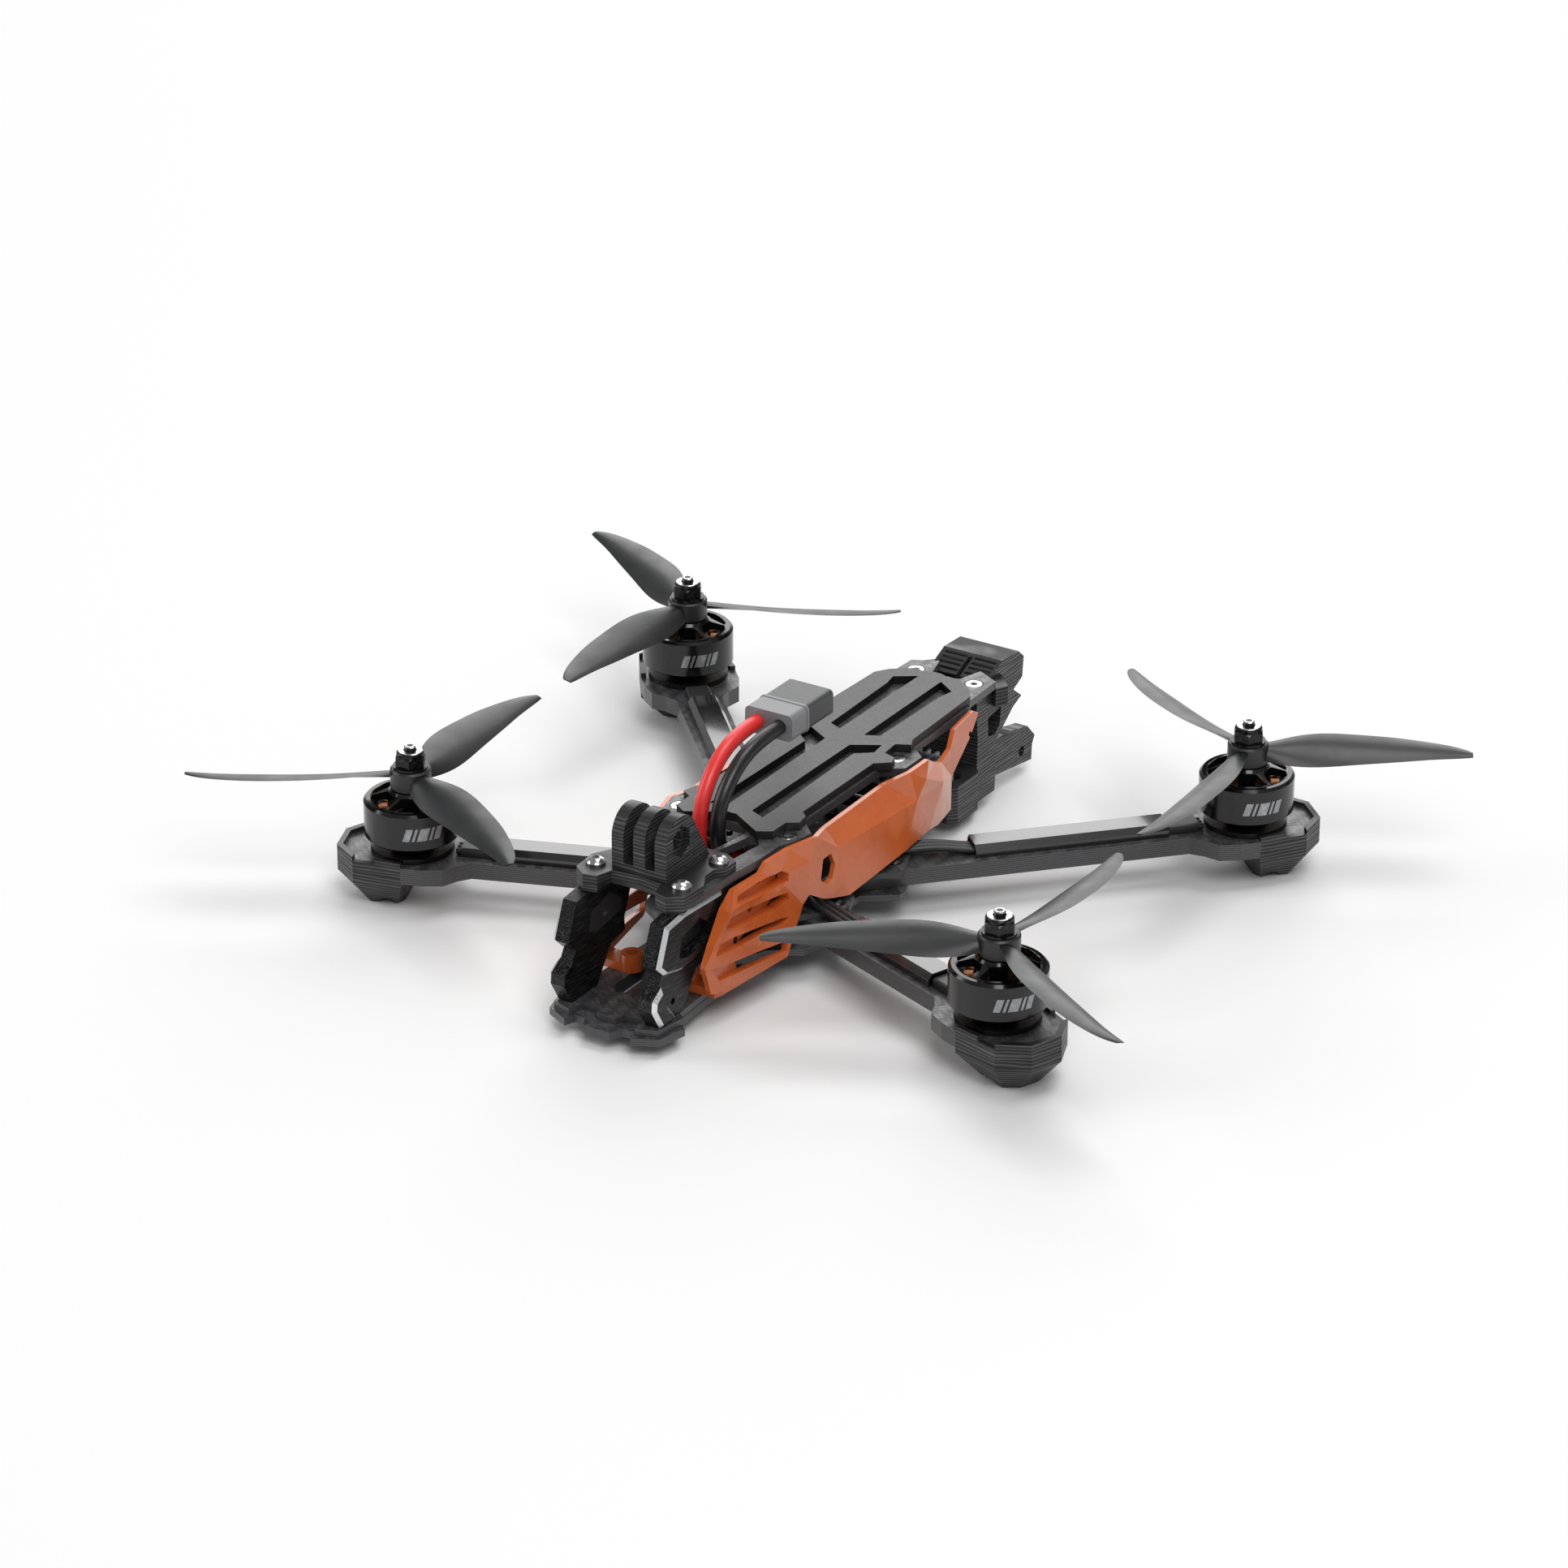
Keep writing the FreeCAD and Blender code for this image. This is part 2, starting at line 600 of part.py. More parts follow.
def motor_wire(side, end, lane):
    """From the motor along the arm, over the clamp plate beside the arm screw, up to the controller's edge."""
    radius = size("wire_diameter") / 2
    length = size("front_sleeve_length") if end < 0 else size("rear_sleeve_length")
    spot = arm_frame(side, end)
    slant = abs(arm_direction(side, end).x)
    centre_x = abs(motor_centre(side, end).x)
    edge, rise, stop = [(centre_x - size("root_screw_x") - more) / slant for more in (6.0, -1.5, -6.4)]
    low = clamp_z + radius + 0.1
    over = deck_z + radius + 0.15
    board = board_z(0) + size("board_t") - 0.2
    straight = lane * size("wire_pitch")
    aside = straight + side * end * size("wire_shift")
    route = [(size("motor_foot_radius") + 1.4, straight, low), (size("sleeve_start") + length - 0.5, straight, low)]
    route += [(edge, aside, over), (rise, aside, over + 0.1), (stop, aside, board)]
    return swept([spot.multVec(Vector(-u, v, z)) for u, v, z in route], 2 * radius, "motor wire")


def make_motor_wires():
    tubes = [motor_wire(side, end, lane) for name, side, end in SIDES for lane in (-1, 0, 1)]
    feature("motor_wires", Part.makeCompound(tubes))


def make_boots():
    """Flattened shrink boots between each motor and its sleeve."""
    boots = []
    half = size("wire_pitch") + size("wire_diameter") / 2 + 0.7
    tall = size("wire_diameter") + 0.8
    start, stop = size("motor_foot_radius") + 3.0, size("sleeve_start") - 0.4
    lane_low = size("wire_diameter") / 2 + 0.1
    for name, side, end in SIDES:
        cover = Part.makeBox(stop - start, 2 * half, tall, Vector(-stop, -half, 0))
        cover = cover.makeFillet(0.8, [edge for edge in cover.Edges if long_upper(edge, tall)])
        bores = []
        for lane in (-1, 0, 1):
            spot = Vector(-stop - 1, lane * size("wire_pitch"), lane_low)
            bores.append(cylinder(size("wire_diameter") / 2 + 0.05, stop - start + 2, spot, Vector(1, 0, 0)))
        cover = cover.cut(bores)
        cover.Placement = Placement(Vector(0, 0, clamp_z), Rotation()).multiply(arm_frame(side, end))
        boots.append(cover)
    feature("wire_boots", Part.makeCompound(boots))


def long_upper(edge, tall):
    middle = edge.CenterOfMass
    return abs(middle.z - tall) < 0.01 and abs(edge.Vertexes[0].X - edge.Vertexes[-1].X) > 2.0


# ---- plates of the body ----
def post_spots():
    wide = size("body_half_width")
    return [(wide + 0.7, -52.6), (wide + 0.3, 6.5), (9.9, 62.3)]


def all_posts():
    return [(x * way, y) for x, y in post_spots() for way in (1, -1)]


def root_rings():
    return [(root_hole(s, e).x, root_hole(s, e).y, "Sizes.screw_d / 2") for n, s, e in SIDES]


def stack_spots():
    half = size("stack_pitch") / 2
    return [(x, size("stack_y") + y) for x in (half, -half) for y in (half, -half)]


def cage_screws():
    """Screws of the accessory mount, through the top plate into the cage plates."""
    middle = size("cage_inner_x") + size("cage_t") / 2
    return [(middle * way, y) for y in (-100.2, -81.7) for way in (1, -1)]


def rear_root_line():
    return root_hole(1, 1)


def front_root_line():
    return root_hole(1, -1)


def make_plates():
    wide = size("body_half_width")
    front, rear = front_root_line(), rear_root_line()
    screw = "Sizes.screw_d / 2"
    posts = [(x, y, screw) for x, y in all_posts()]
    stack = [(x, y, screw) for x, y in stack_spots()]
    nose = [(x, y, screw) for x, y in all_nose_screws()]
    ears = [(0, -60), (14, -60), (wide + 2.2, -54), (front.x + 1, front.y - 6.5), (front.x + 4.5, front.y - 1)]
    ears += [(front.x + 2, front.y + 6), (21.5, -29), (21.5, -21), (rear.x + 5.4, rear.y - 5.5)]
    ears += [(rear.x + 4.5, rear.y - 1), (rear.x + 1.8, rear.y + 5.5), (wide + 3.8, 9), (16, 14), (15, 38), (0, 38)]
    plate("clamp_plate", mirrored(ears), "Sizes.clamp_plate_t", CLAMP, [], posts[:4] + stack + root_rings())
    base = [(0, -75), (13, -75), (18, -64), (22.7, -60.3), (26.8, -57.7), (front.x + 3, front.y - 9)]
    base += [(front.x + 4.5, front.y - 2), (front.x + 2, front.y + 7), (22, -29), (22, -21)]
    base += [(rear.x + 5.4, rear.y - 5.8), (rear.x + 5.6, rear.y - 3), (rear.x + 1.8, rear.y + 5.5), (20, 11)]
    base += [(16, 22), (11, 38), (11, 58), (9, 60.5), (0, 60.5)]
    plate("bottom_plate", mirrored(base), "Sizes.base_plate_t", BASE, [], stack + root_rings() + nose)
    tray = [(0, -116.9), (3, -116.9), (4.2, -113.8), (9.6, -113.8), (10.8, -119.2), (17.1, -117), (18.6, -106.6)]
    tray += [(16.3, -105), (15.3, -86), (14.5, -48), (0, -48)]
    slots = both([(3.2, -102.5), (5.6, -104), (8.2, -101), (8.2, -87.5), (6.4, -86.5), (3.2, -95)])
    plate("nose_plate", mirrored(tray), "Sizes.nose_plate_t", NOSE, slots, nose)
    skid = [(0, -121.8), (4.2, -121.8), (6.2, -118.2), (9.4, -118), (10.8, -121.4), (18, -117.9), (20.3, -108.7)]
    skid += [(16.5, -105.5), (15.6, -88), (13.5, -50), (0, -50)]
    plate("skid_plate", mirrored(skid), "Sizes.skid_plate_t", SKID, slots, nose)
    top = [(0, -99), (9.5, -99.4), (10.8, -102.6), (16.4, -102.6), (17.6, -99), (18.4, -79.5), (19.4, -70.3)]
    top += [(19.6, -59.4)]
    top += [(wide + 3.9, -56.3), (wide + 5.6, -48.1), (wide, -42.5), (wide, -2.0), (wide + 5.8, 2), (wide + 5.8, 11)]
    top += [(wide + 0.4, 15.5), (wide, 48), (15, 51.5), (14.5, 67), (7, 71), (4.5, 62.5), (0, 62.5)]
    window = both([(7, -71), (9.5, -59.4), (11.7, -58.2), (14.5, -62), (13.2, -73.9)])
    lead_gap = [(-5.2, -73), (5.2, -73), (7.6, -57), (5, -54.5), (-5, -54.5), (-7.6, -57)]
    mount = [(x, y, screw) for x, y in cage_screws()]
    lid = plate("top_plate", mirrored(top), "Sizes.top_plate_t", TOP, window + [lead_gap], posts + mount)
    sink_heads(lid, all_posts(), "Sizes.flush_head_d / 2 + 0.1", "Sizes.flush_head_h", "Sizes.top_plate_t")


def all_nose_screws():
    return [(x * way, y) for x, y in ((11.0, -68), (10.5, -56)) for way in (1, -1)]


def make_battery_pad():
    wide = size("body_half_width")
    half = [(0, -53.1), (1.4, -53.1), (12, -59.5), (15.9, -57.1), (16, -50.5), (wide + 2.0, -48.4), (wide + 1.2, -44)]
    half += [(wide - 0.9, -42), (wide - 0.9, -4.6), (wide + 3.2, -1.2), (wide + 2.2, 2), (15.4, 3.2), (14.9, 9.8)]
    half += [(wide + 1.8, 11.9), (wide + 0.3, 14.9), (wide - 0.9, 49.3), (13.7, 53.3), (7.3, 58.3), (4.3, 57.2)]
    half += [(1.2, 58.5), (0, 58.5)]
    rear = [(4.1, 10.3), (8.3, 12.2), (9.1, 44.7), (10, 49.4), (3.8, 53.6)]
    fore = [(3.9, -49), (8.8, -51.1), (8.8, -44.4), (8.1, -2), (12.7, 1.7), (12, 7.2), (4.1, 2.4)]
    plate("battery_pad", mirrored(half), "Sizes.pad_t", PAD, both(rear) + both(fore))


# ---- side panels ----
def panel_points():
    """Corners of the panel's outer face: (y, share of the height from deck to top plate, x)."""
    wide = size("body_half_width") + size("panel_gap") + size("panel_wall")
    low, high = deck_z, pad_z
    tall = high - low
    spots = {
        # upper edge, front to back
        "a0": (-84.5, 0.88, 20.7), "a1": (-72.0, 0.88, 21.4), "a2": (-69.0, 0.975, 21.6),
        "a3": (-58.5, 0.975, wide + 3.2), "a4": (-48.0, 0.975, wide + 5.9), "a5": (-41.0, 0.95, wide + 4.2),
        "a6": (-8.0, 0.95, wide + 3.4), "a7": (1.4, 0.975, wide + 6.1), "a8": (11.6, 0.975, wide + 6.1),
        "a9": (17.0, 0.84, wide + 4.8), "a10": (22.5, 0.74, wide + 3.9), "a11": (29.0, 0.79, wide + 2.9),
        "a12": (34.0, 0.95, wide + 1.4), "a13": (46.5, 0.985, wide + 0.2), "a14": (49.5, 0.92, wide + 0.2),
        # middle creases
        "m0": (-89.3, 0.70, 22.6), "m1": (-66.0, 0.74, 23.6), "m2": (-52.0, 0.72, wide + 5.9),
        "m3": (-39.0, 0.70, wide + 7.2), "m4": (-32.0, 0.42, wide + 8.4), "m5": (2.0, 0.62, wide + 8.2),
        "m6": (8.0, 0.80, wide + 7.6), "m7": (20.0, 0.55, wide + 6.2), "m8": (43.0, 0.72, wide + 1.4),
        # lower edge, back to front
        "b0": (28.5, 0.45, wide + 3.8), "b1": (28.0, 0.03, wide + 4.0), "b2": (16.0, 0.06, wide + 6.9),
        "b3": (9.0, 0.13, wide + 8.3), "b4": (-6.0, 0.12, wide + 9.4), "b5": (-36.0, 0.06, wide + 9.2),
        "b6": (-42.0, 0.11, wide + 7.8), "b7": (-46.5, 0.17, wide + 7.2), "b8": (-53.5, 0.34, wide + 6.8),
        "b9": (-56.5, 0.26, wide + 6.6), "b10": (-63.0, -0.30, 24.6), "b11": (-89.0, -0.32, 21.6),
        "b12": (-95.5, -0.25, 20.4), "b13": (-98.8, 0.12, 20.4), "b14": (-95.6, 0.34, 21.2),
    }
    return {name: Vector(x, y, low + tall * share) for name, (y, share, x) in spots.items()}


PANEL_FACETS = [
    "a0 a1 m1", "a0 m1 m0", "a1 a2 m1", "a2 a3 m1", "a3 m2 m1", "a3 a4 m2", "a4 a5 m3", "a4 m3 m2", "a5 a6 m3",
    "m3 a6 m5", "m3 m5 m4", "a6 a7 m5", "a7 m6 m5", "a7 a8 m6", "a8 a9 m6", "a9 m7 m6", "a9 a10 m7", "a10 b0 m7",
    "a10 a11 b0", "a11 m8 b0", "a11 a12 m8", "a12 a13 m8", "a13 a14 m8", "m5 m6 m7", "m5 m7 b3", "m7 b2 b3",
    "m7 b1 b2", "m7 b0 b1", "m5 b3 b4", "m4 m5 b4", "m4 b4 b5", "m3 m4 b5", "m3 b5 b6", "m2 m3 b6", "m2 b6 b7",
    "m2 b7 b8", "m1 m2 b8", "m1 b8 b9", "m1 b9 b10", "m0 m1 b14", "m1 b10 b14", "b14 b10 b11", "b13 b14 b11",
    "b12 b13 b11",
]
PANEL_RIM = "a0 a1 a2 a3 a4 a5 a6 a7 a8 a9 a10 a11 a12 a13 a14 m8 "
PANEL_RIM += "b0 b1 b2 b3 b4 b5 b6 b7 b8 b9 b10 b11 b12 b13 b14 m0"


# louvres from the top down, each as (y, share of the height from deck to top plate)
PANEL_LOUVRES = [
    [(-85.6, 0.73), (-84.0, 0.81), (-75.0, 0.82), (-64.0, 0.80), (-61.5, 0.73), (-62.0, 0.65), (-71.0, 0.645), (-78.5, 0.68)],
    [(-90.6, 0.49), (-88.4, 0.62), (-81.0, 0.595), (-72.0, 0.555), (-62.5, 0.51), (-61.8, 0.42), (-66.0, 0.37),
     (-79.0, 0.41), (-86.7, 0.445)],
    [(-94.6, 0.215), (-92.6, 0.345), (-87.0, 0.34), (-80.0, 0.30), (-66.0, 0.23), (-62.0, 0.19), (-64.0, 0.14),
     (-73.0, 0.17), (-88.0, 0.19)],
    [(-96.0, 0.075), (-89.4, 0.037), (-76.0, -0.02), (-63.0, -0.095), (-63.5, -0.215), (-73.0, -0.18), (-86.8, -0.14),
     (-92.5, -0.125)],
]


def panel_backs(spots):
    """Inner corners: one wall inwards, except on the thick nose, whose back is flat."""
    backs = {name: spot - Vector(size("panel_wall"), 0, 0) for name, spot in spots.items()}
    for name in ("m0", "m1", "b11", "b12", "b13", "b14"):
        backs[name] = Vector(size("panel_nose_x"), spots[name].y, spots[name].z)
    return backs


def panel_shell():
    """Faceted sheet closed by its inner faces and its rim."""
    spots = panel_points()
    backs = panel_backs(spots)
    faces = []
    for facet in PANEL_FACETS:
        for corners in ([spots[name] for name in facet.split()], [backs[name] for name in facet.split()]):
            faces.append(Part.Face(Part.makePolygon(corners + corners[:1])))
    rim = PANEL_RIM.split()
    for start, stop in zip(rim, rim[1:] + rim[:1]):
        for loop in ([spots[start], spots[stop], backs[stop]], [spots[start], backs[stop], backs[start]]):
            faces.append(Part.Face(Part.makePolygon(loop + loop[:1])))
    shell = Part.makeShell(faces)
    shell.sewShape()
    solid = Part.Solid(shell)
    if solid.Volume < 0:
        solid.reverse()
    return solid


def panel_cuts():
    """Four slanting recesses in the nose, their small holes, the hexagonal vent and the tail hole."""
    low, tall = deck_z, pad_z - deck_z
    cuts = []
    floor = size("panel_nose_x") + size("panel_wall")
    for louvre in PANEL_LOUVRES:
        cuts.append(side_prism([(y, low + tall * share) for y, share in louvre], floor, 20.0))
    for y, share, radius in ((-71.0, 0.773, 1.2), (-75.5, 0.492, 1.2), (-83.0, 0.215, 1.2), (43.0, 0.75, 1.0)):
        turns = [math.radians(60 * k) for k in range(6)]
        ring = [(y + radius * math.cos(turn), low + tall * share + radius * math.sin(turn)) for turn in turns]
        cuts.append(side_prism(ring, 15.0, 20.0))
    vent = [(-47.5, 0.42), (-45.2, 0.33), (-42.4, 0.36), (-40.8, 0.52), (-42.4, 0.68), (-46.0, 0.66)]
    cuts.append(side_prism([(y, low + tall * share) for y, share in vent], 15.0, 25.0))
    return cuts


def panel_foot():
    """Foot that reaches inwards under the cage plate, with a screw boss on the nose plate."""
    boss = Vector(9.6, -89.6, base_z)
    foot = prism([(8.6, -92.6), (19.5, -92.6), (20.4, -90.0), (20.4, -85.5), (8.6, -86.8)], base_z, 2.4)
    tower = cylinder(3.2, 5.0, boss)
    return foot.fuse(tower).cut(cylinder(1.5, 5.0, boss))


def make_panels():
    whole = panel_shell().cut(panel_cuts()).fuse(panel_foot())
    feature("side_panel_left", whole)
    feature("side_panel_right", whole.mirror(Vector(0, 0, 0), Vector(1, 0, 0)))


# ---- nose cage ----
def cage_outline():
    low, high = base_z, top_z
    tall = high - low
    points = [(-81.0, high), (-106.0, high), (-112.7, high - 1.0), (-117.2, low + 0.61 * tall)]
    points += [(-113.4, low + 0.50 * tall), (-116.0, low + 0.36 * tall), (-119.0, low + 0.31 * tall)]
    points += [(-119.4, low + 0.21 * tall), (-115.6, low), (-103.3, low), (-96.5, low + 0.33 * tall)]
    return points + [(-89.4, low + 0.37 * tall), (-89.6, low + 0.50 * tall), (-84.5, high - 2.6)]


def cage_window():
    high = top_z
    return [(-96.5, high - 4.6), (-105.8, high - 7.0), (-107.0, high - 12.6), (-103.0, high - 14.0),
            (-91.0, high - 12.2), (-91.0, high - 8.6)]


def cage_frames():
    """Raised frames on the plate's outer face, round the window and at the foot."""
    high, low = top_z, base_z
    upper = [(-84.5, high - 1.1), (-104.0, high - 0.1), (-112.7, high - 1.1), (-117.0, high - 11.9)]
    upper += [(-113.4, high - 15.3), (-105.0, high - 17.2), (-89.6, high - 16.2)]
    lower = [(-114.6, low + 12.2), (-119.0, low + 9.4), (-119.3, low + 6.4), (-115.6, low + 0.1)]
    lower += [(-107.5, low + 0.1), (-112.2, low + 6.0)]
    start, relief = size("cage_inner_x") + size("cage_t"), size("cage_relief")
    frames = []
    for points in (upper, lower):
        slab = side_prism(points, start, relief)
        rim = [edge for edge in slab.Edges if edge.BoundBox.XMin > start + relief - 1e-6]
        frames.append(slab.makeChamfer(size("cage_bevel"), rim))
    return frames


def make_cage():
    """Aluminium side plates of the camera cage, each with two bevelled frames on its outer face."""
    inner, thick = size("cage_inner_x"), size("cage_t")
    plates = side_prism(cage_outline(), inner, thick).fuse(cage_frames())
    spots = [(x, y) for x, y in cage_screws() if x > 0]
    holes = [cylinder(size("screw_d") / 2, 8.0, Vector(x, y, top_z - 8.0)) for x, y in spots]
    window = side_prism(cage_window(), inner - 1, thick + size("cage_relief") + 2)
    foot_bore = cylinder(1.0, thick + 2, Vector(inner - 1, -108.0, base_z + 5.0), Vector(1, 0, 0))
    plates = plates.cut([window, foot_bore] + holes)
    insert = side_prism(cage_window(), inner, size("insert_t"))
    lens_screw = cylinder(1.0, 10, Vector(inner - 1, -99.0, base_z + 0.67 * (top_z - base_z)), Vector(1, 0, 0))
    insert = insert.cut(lens_screw)
    feature("cage_plate_left", plates)
    feature("cage_plate_right", plates.mirror(Vector(0, 0, 0), Vector(1, 0, 0)))
    feature("camera_brackets", Part.makeCompound([insert, insert.mirror(Vector(0, 0, 0), Vector(1, 0, 0))]))


def make_accessory_mount():
    """Printed three-prong mount for an action camera, with a hexagonal nut pocket on its left side."""
    width, gap, radius = size("prong_width"), size("prong_gap"), size("prong_radius")
    low, axis_z, axis_y = pad_z, pad_z + size("prong_axis_lift"), -92.5
    half = [(0, -100.5), (8, -101.5), (9.5, -106.5), (13.5, -107.5), (17.6, -104.4), (18.3, -96), (15.4, -90.5)]
    half += [(15.4, -86.5), (17.6, -83.5), (17.6, -78.5), (13, -76), (0, -76)]
    base = prism(mirrored(half), low, size("mount_base_t"))
    lobe = [(9.9, -102.9), (9.5, -106.5), (13.5, -107.5), (17.6, -104.4), (17.5, -102.9)]
    lobes = [prism(points, top_z, low - top_z + 1.0) for points in both(lobe)]
    slope = Vector(1, 0, 0)
    foot_rear = -77.0
    shoulder = (axis_y + radius * 0.8, axis_z + radius * 0.6)
    profile = [(axis_y - radius, low), (axis_y - radius, axis_z), shoulder, (foot_rear, low)]
    block = [base] + lobes
    for place in (-1, 0, 1):
        left = place * (width + gap) - width / 2
        cheek = side_prism(profile, left, width)
        round_top = cylinder(radius, width, Vector(left, axis_y, axis_z), slope)
        block.append(cheek.fuse(round_top))
    total = 3 * width + 2 * gap
    web = [(axis_y - radius, low), (axis_y - radius, low + 5.0), (axis_y + 2.0, low + 5.0), (foot_rear, low)]
    block.append(side_prism(web, -total / 2, total))
    shape = block[0].fuse(block[1:]).removeSplitter()
    bore = cylinder(size("prong_bore") / 2, total + 2, Vector(-total / 2 - 1, axis_y, axis_z), slope)
    pocket = hexagon(8.2, 0, 1.8)
    pocket.rotate(Vector(0, 0, 0), Vector(0, 1, 0), 90)
    pocket.translate(Vector(total / 2 - 1.8, axis_y, axis_z))
    holes = [cylinder(size("screw_d") / 2, 6.0, Vector(x, y, low - 1)) for x, y in cage_screws()]
    feature("accessory_mount", shape.cut([bore, pocket] + holes))


# ---- tail ----
def tail_column(left):
    """Side profile of a column from the feet to the top plate, leaning back to the head, with a window."""
    low, high = skid_z, top_z
    column = [(59.6, low + 0.2), (60.2, high - 14.0), (59.4, high - 4.0), (59.4, high - 0.02), (73.0, high - 0.02)]
    column += [(85.5, high - 9.5), (80.5, high - 11.5), (76.5, high - 14.5), (71.5, high - 18.0), (70.5, low + 0.2)]
    window = [(66.0, high - 9.6), (73.6, high - 8.4), (73.0, high - 14.0), (70.4, high - 16.2), (66.4, high - 15.8)]
    return side_prism(column, left, 5.5).cut(side_prism(window, left - 1, 8.0))


def tail_boom(left):
    """Antenna arm with a cross hole at its end."""
    low = skid_z
    arm = [(69.0, low + 14.0), (78.7, low + 14.6), (79.0, low + 12.6), (83.6, low + 13.8), (93.3, low + 11.6)]
    arm += [(97.8, low + 7.0), (96.4, low + 4.5), (96.0, low - 0.4), (73.0, low + 3.0), (69.0, low + 4.6)]
    return side_prism(arm, left, 4.0).cut(cylinder(1.6, 6, Vector(left - 1, 90.1, low + 4.6), Vector(1, 0, 0)))


def tail_foot(way):
    """Block beside the bottom plate's tail with a hexagonal seat in its top."""
    low = skid_z + 0.2
    block = [(5.0, 43.5), (13.0, 42.6), (15.2, 45.0), (15.2, 56.5), (12.5, 60.0), (5.0, 60.0)]
    block = prism([(x * way, y) for x, y in block], low, clamp_z + 1.0 - low)
    return block.cut(hexagon(4.6, clamp_z - 1.5, 3.0).translated(Vector(10.4 * way, 50.0, 0)))


def make_antenna_bracket():
    """Printed tail piece: two feet, two columns, a head block above and two antenna arms."""
    high = top_z
    profile = [(69.8, high - 0.2), (74.0, high - 5.6), (84.0, high - 9.0), (90.5, high - 6.0)]
    profile += [(91.2, high + 0.4), (88.0, high + 3.2), (78.6, high + 3.6)]
    head = side_prism(profile, -10.0, 20.0)
    groove = side_prism([(68, high - 6), (77.4, high - 1), (77.4, high + 6), (68, high + 6)], -0.7, 1.4)
    ribs = []
    for step in range(4):
        for left in (-8.6, 1.4):
            ribs.append(Part.makeBox(7.5, 0.9, 9.0, Vector(left, 71.0 + 1.9 * step, high - 3.4 + 0.9 * step)))
    parts = [head.cut([groove] + ribs)]
    for way in (1, -1):
        parts.append(tail_column(7.2 if way > 0 else -12.7))
        parts.append(tail_boom(6.5 if way > 0 else -10.5))
        parts.append(tail_foot(way))
        stub = [(8.5, 70.0), (14.5, 67.2), (16.4, 71.0), (8.5, 79.0)]
        parts.append(prism([(x * way, y) for x, y in stub], high - 6.0, 5.98))
    parts.append(Part.makeBox(16.0, 3.0, high - 12.0 - arm_z, Vector(-8.0, 61.0, arm_z)))
    parts.append(Part.makeBox(21.0, 3.0, 10.0, Vector(-10.5, 67.5, skid_z + 4.0)))
    shape = parts[0].fuse(parts[1:]).removeSplitter()
    clear = [plate_space("bottom_plate"), plate_space("top_plate")]
    clear += [cylinder(size("screw_d") / 2, 6.0, Vector(x, y, top_z - 6.0)) for x, y in all_posts()]
    feature("antenna_bracket", shape.cut(clear))


def plate_space(label):
    body = next(obj for obj in nodes if obj.Label == label)
    return body.Shape


# ---- fasteners ----
def socket_screw(head_d, head_h, length, diameter, socket):
    """Button-head screw whose shank hangs below the origin."""
    round_top = Part.makeSphere(head_d * 0.62, Vector(0, 0, -head_d * 0.62 + head_h))
    head = round_top.common(cylinder(head_d / 2, head_h, Vector(0, 0, 0)))
    shank = cylinder(diameter / 2, length, Vector(0, 0, -length))
    return head.fuse(shank).cut(hexagon(socket, head_h * 0.45, head_h))


def flush_screw(length, diameter, socket):
    """Flat-headed screw whose head lies wholly below the origin."""
    head_d, head_h = size("flush_head_d"), size("flush_head_h")
    head = cylinder(head_d / 2, head_h, Vector(0, 0, -head_h))
    head = head.makeChamfer(0.25, [edge for edge in head.Edges if edge.BoundBox.ZMin > -0.01])
    shank = cylinder(diameter / 2, length, Vector(0, 0, -length))
    return head.fuse(shank).cut(hexagon(socket, -0.9, 1.4))


def make_fasteners():
    d = size("screw_d")
    silver = socket_screw(5.6, 2.2, size("mount_base_t") + size("top_plate_t") + 4.0, d, 2.0)
    at = pad_z + size("mount_base_t")
    feature("mount_screws", Part.makeCompound([silver.translated(Vector(x, y, at)) for x, y in cage_screws()]))
    flush = flush_screw(size("top_plate_t") + 5.0, d, 2.0)
    feature("top_screws", Part.makeCompound([flush.translated(Vector(x, y, pad_z)) for x, y in all_posts()]))
    dark = socket_screw(5.0, 1.5, size("arm_thickness") + size("clamp_plate_t") + size("base_plate_t"), d, 2.0)
    spots = [root_hole(side, end) for name, side, end in SIDES]
    feature("arm_screws", Part.makeCompound([dark.translated(Vector(p.x, p.y, deck_z)) for p in spots]))
    post = cylinder(size("post_d") / 2, size("post_length"), Vector(0, 0, deck_z))
    bores = [cylinder(d / 2, 5.0, Vector(0, 0, top_z - 5.0)), cylinder(d / 2, 6.0, Vector(0, 0, deck_z))]
    post = post.cut(bores)
    feature("standoffs", Part.makeCompound([post.translated(Vector(x, y, 0)) for x, y in all_posts()[:4]]))
    motor = socket_screw(5.0, 1.4, size("arm_thickness"), size("motor_screw_d"), 2.0)
    motor.rotate(Vector(0, 0, 0), Vector(1, 0, 0), 180)
    spots = [hole for name, side, end in SIDES for hole in motor_holes(side, end)]
    feature("motor_screws", Part.makeCompound([motor.translated(Vector(p.x, p.y, arm_z)) for p in spots]))


# ---- electronics ----
def board_z(level):
    return deck_z + size("stack_lift") + level * (size("board_t") + size("stack_gap"))


def board(label, level, chips):
    """Square board with mounting holes, its parts soldered on: (x, y, length, width, height)."""
    side = size("board_size")
    low = board_z(level)
    thick = size("board_t")
    trim = 3.0
    edge = side / 2
    outline = [(edge - trim, -edge), (edge, -edge + trim), (edge, edge - trim), (edge - trim, edge)]
    outline = outline + [(-x, y) for x, y in reversed(outline)]
    slab = prism([(x, y + size("stack_y")) for x, y in outline], low, thick)
    blocks = []
    for x, y, length, width, height in chips:
        corner = Vector(x - length / 2, y - width / 2 + size("stack_y"), low + thick)
        blocks.append(Part.makeBox(length, width, height, corner))
    holes = [cylinder(2.0, thick, Vector(x, y, low)) for x, y in stack_spots()]
    feature(label, slab.fuse(blocks).cut(holes))


